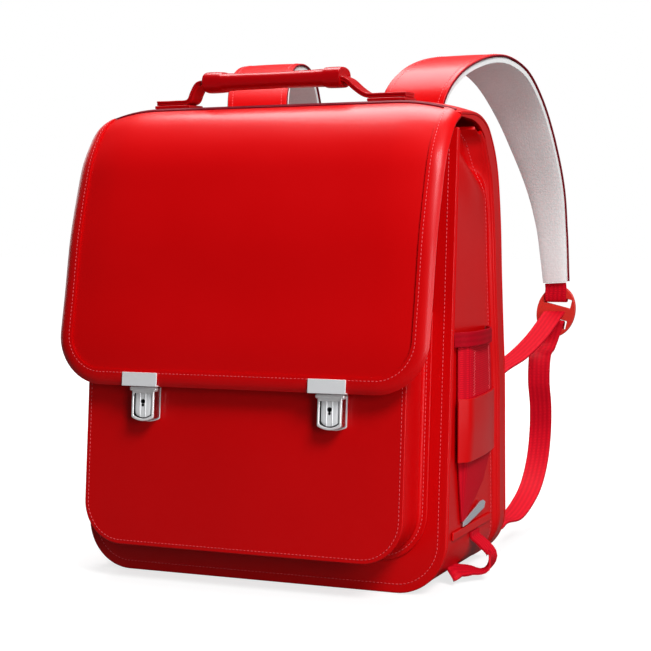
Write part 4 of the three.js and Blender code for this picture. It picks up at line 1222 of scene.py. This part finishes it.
def strapWidth(share):
    place = min(share * (len(strapRows) - 1), len(strapRows) - 1.000001)
    i = int(place)
    return straps["width"] * mix(strapRows[i]["wide"], strapRows[i + 1]["wide"], place - i)


def buildStrap(sideName, side):
    path = curveThrough(strapLine(side), 8)
    across = spot(1, 0, 0)
    offset = strapStack / 2 - straps["shell"] / 2
    outer = layStrip(f"strapOuter.{sideName}", path, strapWidth, straps["shell"] - 0.4, across, offset,
                     crown=straps["crown"], columns=12, edge=0.4, rim=1)
    belong(paint(outer, redLeather, darkEdge), "red_leather", f"strap_{sideName}")

    stations = stationsAlong(path, strapWidth, across)
    inset = straps["liningInset"]
    middle = straps["pad"] / 2 - strapStack / 2
    shares = [-1, -0.97, -0.9, -0.8, -0.65, -0.45, -0.2, 0, 0.2, 0.45, 0.65, 0.8, 0.9, 0.97, 1]

    def padFace(way):
        def place(share, i):
            station = dict(stations[i])
            station["width"] -= 2 * inset
            thick = straps["pad"] / 2 * (1 - 0.5 * abs(share) ** 3)
            return onStrip(station, share, middle + way * (thick if way < 0 else straps["pad"] / 2 - 0.1))
        return place

    facing = -stations[len(stations) // 2]["normal"]
    lining = layWall(f"strapLining.{sideName}", shares, range(len(path)), padFace(-1), padFace(1), facing, edge=0.8)
    dress(lining, greyFelt, "grey_mesh", f"strap_lining_{sideName}")

    for edgeName, way in (("Inner", -1), ("Outer", 1)):
        line = [onStrip(station, way, offset - 0.4) for station in stations]
        bead = drawBead(f"strapBead{edgeName}.{sideName}", line, straps["bead"],
                        lambda i: stations[i]["side"] * way, sides=8)
        dress(bead, darkEdge, "red_leather")
    rows = []
    for way in (-1, 1):
        row = []
        for station in stations:
            share = way * (1 - 2 * straps["stitchInset"] / station["width"])
            rise = offset + straps["shell"] / 2 - 0.1 + straps["crown"] * (1 - share * share)
            row.append((onStrip(station, share, rise), station["normal"]))
        rows.append(row)
    sew(f"strapStitches.{sideName}", rows)


def sliderFrame(side):
    stand = webbing["sliderThickness"] / 2 + 2 * body["gap"] + webbing["thickness"] / 2
    out = side * (webbing["shift"] - webbing["slotCentre"] * sin(webbing["tilt"]))
    middle = strapLine(side)[-1] + spot(out, stand, -webbing["sliderLength"] / 2 - body["gap"] - webbing["drop"])
    up = spot(side * sin(webbing["tilt"]), 0, cos(webbing["tilt"]))
    across = spot(side * cos(webbing["tilt"]), 0, -sin(webbing["tilt"]))
    return {"middle": middle, "up": up, "across": across, "stand": stand}


def onSlider(slider, rise, out):
    return slider["middle"] + slider["up"] * rise + spot(0, -out, 0)


def buildStrapTab(sideName, side):
    slider = sliderFrame(side)
    stand, thick, gap = slider["stand"], webbing["thickness"], body["gap"]
    turn = webbing["slotCentre"] * cos(webbing["tilt"]) - gap
    last, end = curveThrough(strapLine(side), 2)[-2:]
    onward = (end - last).normalized()

    def below(rise, out):
        return spot(end.x, slider["middle"].y - out, slider["middle"].z + rise)

    line = [end + onward * (3 * gap + far * thick) for far in (0, 1.5, 3)]
    line += [below(turn + 3 * thick, stand), below(turn + 0.4 * thick, stand * 0.75), below(turn, 0),
             below(turn + 0.4 * thick, -stand * 0.75), below(turn + 3 * thick, -stand),
             below(webbing["sliderLength"] / 2 - 2 * thick, -stand)]
    path = curveThrough(line, 5)
    strip = layStrip(f"strapTab.{sideName}", path, webbing["width"], thick, spot(side, 0, 0), edge=0.35, even=False)
    dress(strip, redWebbing, "red_webbing", f"strap_tab_{sideName}")


def buildWebbing(sideName, side):
    slider = sliderFrame(side)
    stand, thick, gap, wide = slider["stand"], webbing["thickness"], body["gap"], webbing["width"]

    def place(row):
        return spot(side * row[0] * straps["spread"], backY + row[1] * straps["reach"], row[2] * body["height"])

    turn = -webbing["slotCentre"] + webbing["slotHeight"] / 2 - gap - thick
    tabY = backY + webbing["lowerTabThickness"] + 3 * gap + thick / 2
    lowerTab = spot(side * 1.045 * straps["spread"], tabY, 0.085 * body["height"])
    line = [lowerTab + spot(0, 0, webbing["lowerTabLength"] / 3), lowerTab,
            lowerTab + spot(0, thick / 3, -wide / 4), lowerTab + spot(0, 3 * thick, -wide / 2)]
    line += [place(row) for row in slackRows]
    low = -webbing["slotCentre"]
    line += [onSlider(slider, -webbing["sliderLength"] / 2 - webbing["slotHeight"], stand + webbing["standOff"]),
             onSlider(slider, low - 3 * thick, stand), onSlider(slider, turn - thick / 2, stand * 0.8),
             onSlider(slider, turn + thick / 4, 0), onSlider(slider, turn - thick / 2, -stand * 0.8),
             onSlider(slider, low - 3 * thick, -stand - 3 * gap)]
    path = curveThrough(line, 6)
    straight = spot(side, 0, 0)

    # level at the lower tab, and turned with the slider in its upper half
    def across(i):
        return mix(straight, slider["across"], ease(2 * i / len(path) - 1)).normalized()

    strip = layStrip(f"webbing.{sideName}", path, wide, thick, across, edge=0.35, even=False)
    dress(strip, redWebbing, "red_webbing", f"webbing_{sideName}")

    tailX = 1.035 * straps["spread"]
    restLine = backLine(tailX - wide / 2, gap + thick / 2, inner=False)

    def rest(up, off):
        return spot(side * tailX, readLine(restLine, up * body["height"]) + off, up * body["height"])

    tail = [onSlider(slider, 0, stand + webbing["tailStandOff"])] + [place(row) for row in tailRows]
    tail += [rest(0.390, 2.5 * thick), rest(0.375, 2 * gap), rest(0.355, 0), rest(0.330, 0)]
    strip = layStrip(f"webbingTail.{sideName}", curveThrough(tail, 6), wide, thick, straight, edge=0.35)
    dress(strip, redWebbing, "red_webbing", f"webbing_tail_{sideName}")


def buildStraps():
    for sideName, side in (("left", -1), ("right", 1)):
        buildStrap(sideName, side)
        buildStrapTab(sideName, side)
        buildWebbing(sideName, side)
        roundNode(f"slider_{sideName}", f"slider.{sideName}", 1.1, redPlastic, "red_plastic")
        roundNode(f"lower_tab_{sideName}", f"lowerTab.{sideName}", 0.8, redLeather, "red_leather")
    roundNode("strap_anchor", "strapAnchor", 1.0, redLeather, "red_leather")


buildStraps()
print("straps laid")


# Side holders

sides = {"bandHeight": 11, "bulge": 11, "sleeve": 1.6, "loopBulge": 13, "reflector": 0.8, "strip": 1.5, "tube": 7}
# height, front edge, back edge and how far it stands off, as shares of the body's height, of the way
# across the gusset and of the tube
slingRows = [(0.4940, 0.130, 0.900, 1.0), (0.3889, 0.150, 0.900, 1.0), (0.3300, 0.160, 0.900, 0.95),
             (0.2600, 0.190, 0.900, 0.65), (0.1950, 0.235, 0.720, 0.3), (0.1300, 0.290, 0.345, 0.0)]
sleeveRows = [(0.3889, 0.110, 0.915, 1.0), (0.3300, 0.120, 0.915, 1.0), (0.2583, 0.135, 0.915, 0.8)]
reflectorRows = [(0.1545, 0.640, 0.700, 0), (0.1480, 0.560, 0.745, 0), (0.1370, 0.400, 0.720, 0),
                 (0.1290, 0.300, 0.560, 0), (0.1210, 0.295, 0.360, 0)]
holderStripRows = [(0.1170, 0.130, 0.900, 0), (0.1000, 0.130, 0.900, 0)]
# way across the gusset, and share of the bulge
bandRows = [(0.060, 0.00), (0.110, 0.25), (0.180, 0.70), (0.330, 1.00), (0.520, 1.00), (0.690, 0.75), (0.790, 0.25),
            (0.850, 0.00)]


# A tube seen from its end: steep at the front, easing down to the back
def tubeShape(share):
    return min(share / 0.09, 1) ** 0.6 * (1 - share**3)


def laySidePiece(name, side, edges, rise, thickness, edge=0.35, crown=0):
    columns, stepsPerEdge = 16, 5
    rows = []
    for start, end in zip(edges, edges[1:]):
        rows += [[mix(a, b, k / stepsPerEdge) for a, b in zip(start, end)] for k in range(stepsPerEdge)]
    rows.append(list(edges[-1]))

    def place(share, i):
        up, front, rear, off = rows[i]
        z = up * body["height"]
        swell = (crown + sides["tube"] * off) * tubeShape(share)
        return spot(side * (gussetHalf + rise + thickness + swell), acrossGusset(mix(front, rear, share), z), z)

    piece = layGrid(name, [j / columns for j in range(columns + 1)], range(len(rows)), place, (side, 0, 0))
    spanY = abs(acrossGusset(edges[0][2], 100) - acrossGusset(edges[0][1], 100))
    scaleMap(piece, spanY, abs(edges[0][0] - edges[-1][0]) * body["height"])
    return thicken(piece, thickness, edge)


# Zigzag stitches up the sling, as places on its bulging face
def sewSling(sideName, side):
    rows = []
    for share in (0.22, 0.80):
        row = []
        for k in range(31):
            z = mix(0.392, 0.485, k / 30) * body["height"]
            across = share + (0.022 if k % 2 else -0.022)
            swell = sides["tube"] * tubeShape(across)
            off = gussetHalf + body["gap"] + webbing["thickness"] + swell + 0.15
            row.append((spot(side * off, acrossGusset(mix(0.14, 0.90, across), z), z), spot(side, 0, 0)))
        rows.append(row)
    sew(f"slingStitches.{sideName}", rows, length=1.9, gap=0.3, width=0.5)


def buildSides():
    gap, thick = body["gap"], webbing["thickness"]
    for sideName, side in (("left", -1), ("right", 1)):
        over = 2 * gap + thick
        sling = laySidePiece(f"sideSling.{sideName}", side, slingRows, gap, thick)
        dress(sling, redWebbing, "red_webbing", f"side_sling_{sideName}")
        sewSling(sideName, side)
        sleeve = laySidePiece(f"sideSleeve.{sideName}", side, sleeveRows, over, sides["sleeve"], crown=0.8)
        dress(sleeve, redLeather, "red_leather", f"side_sleeve_{sideName}")
        patch = laySidePiece(f"sideReflector.{sideName}", side, reflectorRows, over, sides["reflector"])
        dress(patch, reflectiveCloth, "reflective_patch", f"side_reflector_{sideName}")
        strip = laySidePiece(f"sideStrip.{sideName}", side, holderStripRows, gap, sides["strip"], edge=0.5)
        dress(strip, redLeather, "red_leather", f"side_strip_{sideName}")

        seat = gussetHalf + gap + thick / 2
        bandZ = slingRows[0][0] * body["height"] + gap + sides["bandHeight"] / 2
        line = [spot(side * (seat + out * sides["bulge"]), acrossGusset(across, bandZ), bandZ)
                for across, out in bandRows]
        path = curveThrough(line, 6)
        band = layStrip(f"bottleBand.{sideName}", path, sides["bandHeight"], thick, spot(0, 0, 1), edge=0.35)
        # The band takes the darker copy of the webbing: painted shade
        dress(band, shadedWebbing, "red_webbing", f"bottle_band_{sideName}")

        top = holderStripRows[1][0] * body["height"] - gap
        radius, bulge = body["corner"] - body["flange"], sides["loopBulge"]
        endReach, endAngle = radius + gap + thick / 2, -0.70  # the loop ends on the gusset's lower corner
        endX = gussetHalf - radius + endReach * cos(endAngle)
        endZ = radius + endReach * sin(endAngle)
        rows = [(0.570, seat, top - 2 * gap), (0.572, seat + 0.3, 0.86 * top),
                (0.580, seat + 0.45 * bulge, 0.72 * top), (0.600, seat + bulge, 0.45 * top),
                (0.540, seat + 0.75 * bulge, 0.20 * top), (0.440, endX + 0.55 * bulge, endZ - 0.10 * top),
                (0.340, endX + 1, endZ - 1), (0.260, endX, endZ)]
        line = [spot(side * x, acrossGusset(across, z), z) for across, x, z in rows]
        path = curveThrough(line, 6)
        loop = layStrip(f"sideLoop.{sideName}", path, 0.95 * webbing["width"], thick, spot(0, 1, 0), edge=0.35)
        dress(loop, redWebbing, "red_webbing", f"side_loop_{sideName}")


buildSides()
print("side holders laid")


# Floor, lights and surroundings

studio = {
    "floorSeen": {"colour": (0.34, 0.34, 0.34, 1), "glowNear": 0.74, "glowFar": 1.0},
    "floorBounce": (0.13, 0.13, 0.13, 1), "surround": 0.06,
    "lights": [
        {"name": "rearTop", "place": (-0.15, 0.42, 1.6), "aim": (0, 0, 0.3), "size": (1.1, 1.1), "power": 34},
        {"name": "keyRight", "place": (1.7, -1.3, 2.2), "aim": (0, 0, 0.2), "size": (1.0, 1.0), "power": 74},
        {"name": "fillRight", "place": (1.5, -1.4, 0.55), "aim": (0, 0, 0.2), "size": (0.6, 0.8), "power": 13},
        {"name": "rearLeft", "place": (-1.8, 0.9, 0.45), "aim": (0, 0, 0.2), "size": (1.2, 1.2), "power": 9},
        {"name": "rearRight", "place": (0.9, 1.9, 0.45), "aim": (0.15, 0, 0.2), "size": (0.3, 1.2), "power": 0.35},
        {"name": "frontLow", "place": (-0.75, -1.9, 0.10), "aim": (0, 0, 0.10), "size": (2.0, 0.2), "power": 0.15},
        {"name": "lowRight", "place": (1.5, -0.5, 0.07), "aim": (0.1, 0, 0.05), "size": (0.9, 0.12), "power": 1.4},
    ],
}


# The camera sees one shader, and light meets the other
def splitByRay(tree, met, seen, out):
    ray = addNode(tree, "LightPath")
    either = addNode(tree, "MixShader")
    join(tree, ray, "Is Camera Ray", either, "Fac")
    join(tree, met, 0, either, 1)
    join(tree, seen, 0, either, 2)
    join(tree, either, 0, out, "Surface")


# The floor looks white, and throws less light back on the object than it shows
def addFloor():
    deselectAll()
    bpy.ops.mesh.primitive_plane_add(size=12, location=(0, 0, 0))
    floor = bpy.context.object
    floor.name = "floor"
    floor.data.transform(Matrix.Translation((0, 0, -0.0002)))
    seen = studio["floorSeen"]
    material, tree, shader, place = startMaterial("whiteFloor")
    setSockets(shader, {"Base Color": seen["colour"], "Roughness": 1.0, "Specular IOR Level": 0.0,
                        "Emission Color": (1, 1, 1, 1)})
    spread = addTexture(tree, place, "Gradient", {}, gradient_type="SPHERICAL")
    glow = addNode(tree, "MapRange", {"From Max": 0.5, "To Min": seen["glowFar"], "To Max": seen["glowNear"]})
    join(tree, spread, "Fac", glow, "Value")
    join(tree, glow, "Result", shader, "Emission Strength")
    bounce = addNode(tree, "BsdfDiffuse", {"Color": studio["floorBounce"]})
    splitByRay(tree, bounce, shader, tree.nodes["Material Output"])
    paint(floor, material)


def addLights():
    for light in studio["lights"]:
        lamp = bpy.data.lights.new(light["name"], "AREA")
        lamp.shape = "RECTANGLE"
        lamp.size, lamp.size_y = light["size"]
        lamp.energy = light["power"]
        holder = bpy.data.objects.new(light["name"], lamp)
        place = Vector(light["place"])
        turn = (Vector(light["aim"]) - place).to_track_quat("-Z", "Y")
        holder.matrix_world = Matrix.Translation(place) @ turn.to_matrix().to_4x4()
        bpy.context.scene.collection.objects.link(holder)


# The camera sees white round the object, and the object is lit by a darker room
def setSurround():
    world = bpy.context.scene.world or bpy.data.worlds.new("surround")
    bpy.context.scene.world = world
    world.use_nodes = True
    tree = world.node_tree
    tree.nodes.clear()
    seen = addNode(tree, "Background", {"Color": (1, 1, 1, 1), "Strength": 1.0})
    lit = addNode(tree, "Background", {"Color": (1, 1, 1, 1), "Strength": studio["surround"]})
    splitByRay(tree, lit, seen, addNode(tree, "OutputWorld"))
    bpy.context.scene.view_settings.view_transform = "Standard"


addFloor()
addLights()
setSurround()
print("studio set")
